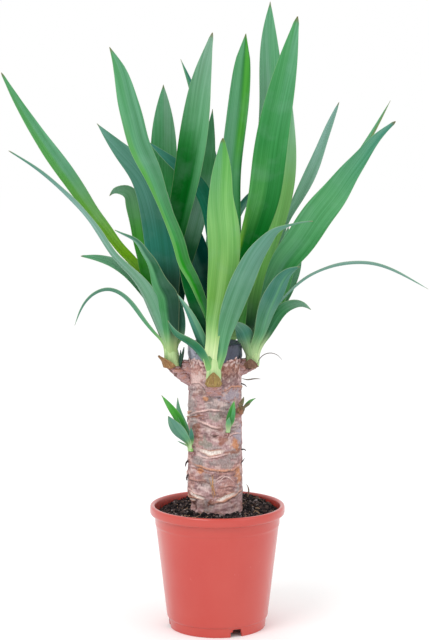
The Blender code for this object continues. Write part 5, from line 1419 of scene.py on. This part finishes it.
for lane, (side, row) in enumerate(SHEATHS.items()):
    shell = sheath_skin(CROWNS[side][0], *row, lane, SHEATH_THICKNESS)
    leafy_piece("dry_sheath_" + side, [shell], husk.material, "sheath", "bract_" + side)

# The bud sits on a low knob at the trunk's right: brown scales a little over half a millimetre thick,
# pink where they are fresh, close round a short spike whose tip has just turned green.
BUD_RED = (206, 150, 130)
BUD_BROWN = (122, 84, 52)
BUD_SCALE_THICKNESS = 0.6
BUD_LANE = 5
BUD_ROWS = (
    ((5, 0.35, 100, 0, 10, ((23, -22, 232), (25, -24, 239), (27, -25, 245))), "brown brown olive brown",
     "brown brown brown brown", ()),
    ((4, 0.35, 150, 0, 10, ((25, -21, 231), (29, -23, 235), (33, -24, 238))), "brown olive brown brown",
     "brown brown brown brown", ()),
    ((5, 0.30, 170, 0, 12, ((26, -20, 230), (32, -21, 238), (39, -22, 243))), "olive moss leafy grass",
     "moss leafy grass grass", ()),
)
BUD_SCALES = (
    (-120.0, 60.0, ((2.6, -0.6), (3.0, 2.0), (2.8, 6.4))),
    (-20.0, 60.0, ((2.7, -0.3), (3.0, 2.4), (3.2, 7.0))),
    (-70.0, 46.0, ((3.1, -1.0), (3.5, 1.2), (4.0, 4.6))),
    (20.0, 46.0, ((3.1, -1.0), (3.6, 1.2), (4.4, 4.2))),
)
bud_skins = shoot_skins(*SEATS["right"], BUD_ROWS, "brown", "brown")
for lane, row in enumerate(BUD_SCALES):
    bud_skins.append(sheath_skin(SEATS["right"][0], *row, BUD_RED, BUD_BROWN, lane + BUD_LANE,
                                 BUD_SCALE_THICKNESS))
leafy_piece("scaly_bud", bud_skins, husk.material, "sheath", "bud_right")

# Small dry things are still caught on the plant: a forked dead leaf tip by the left head, a curled
# thread and a stick by the right one, burrs, stray fibres, torn bark flakes, and pale fibres at the
# trunk's foot. Each is a thin tapering strand that lies on the bark or stands on the compost.
LEAF_SNAG = (34, 76, 58)
STRAY_FIBRE = (206, 156, 104)
BURR = (70, 58, 62)
CURLED_THREAD = (104, 92, 84)
DRY_STICK = (120, 106, 96)
REAR_STICK = (146, 120, 100)
STRAND_DARK = (64, 46, 38)
STRAND_CREASE = 60.0
STRAND_STATIONS = 22
STRAND_SIDES = 8
FOOT_FIBRES = 46
FOOT_FIBRE_START = 121.5
BARK_FLAKES = 60
# Single strands: half thickness, colour and route.
DRY_THREADS = (
    (1.5, LEAF_SNAG, ((-38.5, -8, 272), (-36.9, -9.5, 280), (-35.4, -10.5, 287), (-34.1, -12, 294))),
    (1.1, LEAF_SNAG, ((-38.6, -8, 273), (-38.4, -9, 281), (-37.8, -10, 286), (-37.6, -11, 291))),
    (0.45, LIP_PINK, ((0.6, -28.6, 155), (3.6, -29.3, 160), (7.7, -29.4, 163), (12.8, -28.0, 161),
                      (17, -24.5, 156))),
    (0.4, STRAY_FIBRE, ((-6.1, -28.6, 165), (-4.5, -29.4, 158), (-5.6, -28.8, 149), (-4, -29, 141))),
    (0.35, STRAY_FIBRE, ((-3.5, -28.8, 166), (-5, -29.6, 156), (-3, -29, 147), (-4.5, -29.2, 140))),
    (0.35, STRAY_FIBRE, ((-8.6, -28.4, 162), (-5.6, -29.4, 152), (-1.5, -29, 143))),
    (1.1, BURR, ((-24, -6, 177), (-29, -7, 176), (-32, -8, 173.5), (-33, -9, 169.5))),
    (1.2, BURR, ((-24, -7, 162), (-29, -8, 161.5), (-31.5, -9, 158.6), (-31.5, -9, 155))),
    (0.8, BURR, ((21, -7, 186), (25.5, -8, 187.3), (28, -9, 187.4), (29.5, -9, 185.8))),
    (0.6, BURR, ((22, -7, 171), (26, -8, 175), (28, -9, 178.5))),
    (0.7, BURR, ((21, -7, 257), (25.5, -8, 255.6), (28.3, -9, 254.5), (30, -9, 252.5))),
    (0.45, CURLED_THREAD, ((39, -9, 271), (41, -10, 277), (44, -11, 283), (49, -12, 287), (55, -12, 288),
                           (61, -12, 286), (66, -12, 281))),
    (0.7, DRY_STICK, ((25, -13, 262), (31, -15, 261), (37, -16, 262), (44, -17, 262))),
    (0.8, REAR_STICK, ((31, 40, 124), (33, 41, 130), (33, 42, 136), (31, 43, 140))),
)


bits = []


def add_bit(route, width, tone, shade=1.0, sides=5):
    """Lay one strand along its route."""
    points, faces = thread(route, width, sides)
    bits.append((points, faces, dyed(points, tone, shade)))


for width, tone, route in DRY_THREADS:
    add_bit(smooth_path(route, STRAND_STATIONS)[0], width, tone, sides=STRAND_SIDES)
foot_draw = np.random.default_rng(23)
for k in range(FOOT_FIBRES):
    azimuth = foot_draw.uniform(0.0, math.tau)
    lean = foot_draw.normal(0.0, 0.35)
    tall = foot_draw.uniform(2.0, 6.0)
    route = [around(CANE_RADIUS + 0.4 + 0.5 * math.sin(step + k), azimuth + lean * step / 6.0,
                    FOOT_FIBRE_START + tall * step / 5.0, (CANE_X, 0.0)) for step in range(6)]
    add_bit(route, foot_draw.uniform(0.18, 0.4), THREAD_TONE, foot_draw.uniform(0.6, 1.0))
flake_draw = np.random.default_rng(29)
for k in range(BARK_FLAKES):
    azimuth = flake_draw.uniform(0.0, math.tau)
    height = flake_draw.uniform(132.0, 276.0)
    size = flake_draw.uniform(0.8, 2.6)
    reach = CANE_RADIUS - taper_at(height) - 0.2
    route = [around(reach + 0.5 * math.sin(t * 3.0), azimuth + size * (t - 0.5) / 14.0,
                    height + flake_draw.normal(0.0, 0.25), (CANE_X, 0.0)) for t in np.linspace(0.0, 1.0, 5)]
    width = flake_draw.uniform(0.3, 0.7)
    add_bit(route, width, (LIP_PINK, LIP_ORANGE, BARK_DARK, RUST)[flake_draw.integers(4)])
withered = Finish("dry_fibre", Roughness=0.85)
strand_grain = withered.grain(700.0, 3.0)
strand_colour = withered.touch(withered.drawn("tone", True), paint(*STRAND_DARK), strand_grain,
                               0.4, 0.65, 0.4)
withered.coat(strand_colour, None, withered.bump(withered.grain(1400.0, 3.0), 0.15, 0.6))
dry_bits = toned_piece("dry_bits", bits, withered.material, STRAND_CREASE)
settle(dry_bits, "sheath")

# The plant stands on a plain white table in soft daylight, and the camera looks slightly down on it
# from a pace and a half away, with the lens that makes the pot as large as it is in the picture.
FLOOR_SIZE = 12.0
CAMERA_PLACE = (-0.003, -1.75, 0.52)
CAMERA_PITCH = 6.5
CAMERA_LENS = 96.53
SENSOR_HEIGHT = 36.0
WHITE = (1.0, 1.0, 1.0, 1.0)
LAMPS_LOOK_AT = (0.0, 0.0, 0.3)

bpy.context.scene.view_settings.view_transform = "Standard"
table_mesh = bpy.data.meshes.new("white_table")
corners = [(-FLOOR_SIZE, -FLOOR_SIZE, 0.0), (FLOOR_SIZE, -FLOOR_SIZE, 0.0),
           (FLOOR_SIZE, FLOOR_SIZE, 0.0), (-FLOOR_SIZE, FLOOR_SIZE, 0.0)]
table_mesh.from_pydata(corners, [], [(0, 1, 2, 3)])
table = bpy.data.objects.new("white_table", table_mesh)
bpy.context.scene.collection.objects.link(table)
white = Finish("white_table", Roughness=0.9, Specular_IOR_Level=0.0)
white.coat(WHITE)
table_mesh.materials.append(white.material)

world = bpy.data.worlds.new("daylight")
bpy.context.scene.world = world
world.use_nodes = True
sky = world.node_tree.nodes["Background"]
sky.inputs["Color"].default_value = WHITE
sky.inputs["Strength"].default_value = 1.0


def soft_lamp(name, place, size, power):
    """A large soft lamp that looks at the middle of the plant."""
    light = bpy.data.lights.new(name, "AREA")
    light.shape = "DISK"
    light.size = size
    light.energy = power
    made = bpy.data.objects.new(name, light)
    made.location = place
    made.rotation_euler = (Vector(LAMPS_LOOK_AT) - Vector(place)).to_track_quat("-Z", "Y").to_euler()
    bpy.context.scene.collection.objects.link(made)


soft_lamp("key", (-1.2, -1.6, 2.2), 1.4, 22.0)
soft_lamp("fill", (1.8, -1.4, 1.2), 1.8, 6.0)

lens = bpy.data.cameras.new("viewpoint")
lens.sensor_fit = "VERTICAL"
lens.sensor_height = SENSOR_HEIGHT
lens.lens = CAMERA_LENS
lens.clip_start = 0.05
lens.clip_end = 100.0
viewpoint = bpy.data.objects.new("viewpoint", lens)
viewpoint.location = CAMERA_PLACE
viewpoint.rotation_euler = (math.radians(90.0 - CAMERA_PITCH), 0.0, 0.0)
bpy.context.scene.collection.objects.link(viewpoint)
bpy.context.scene.camera = viewpoint
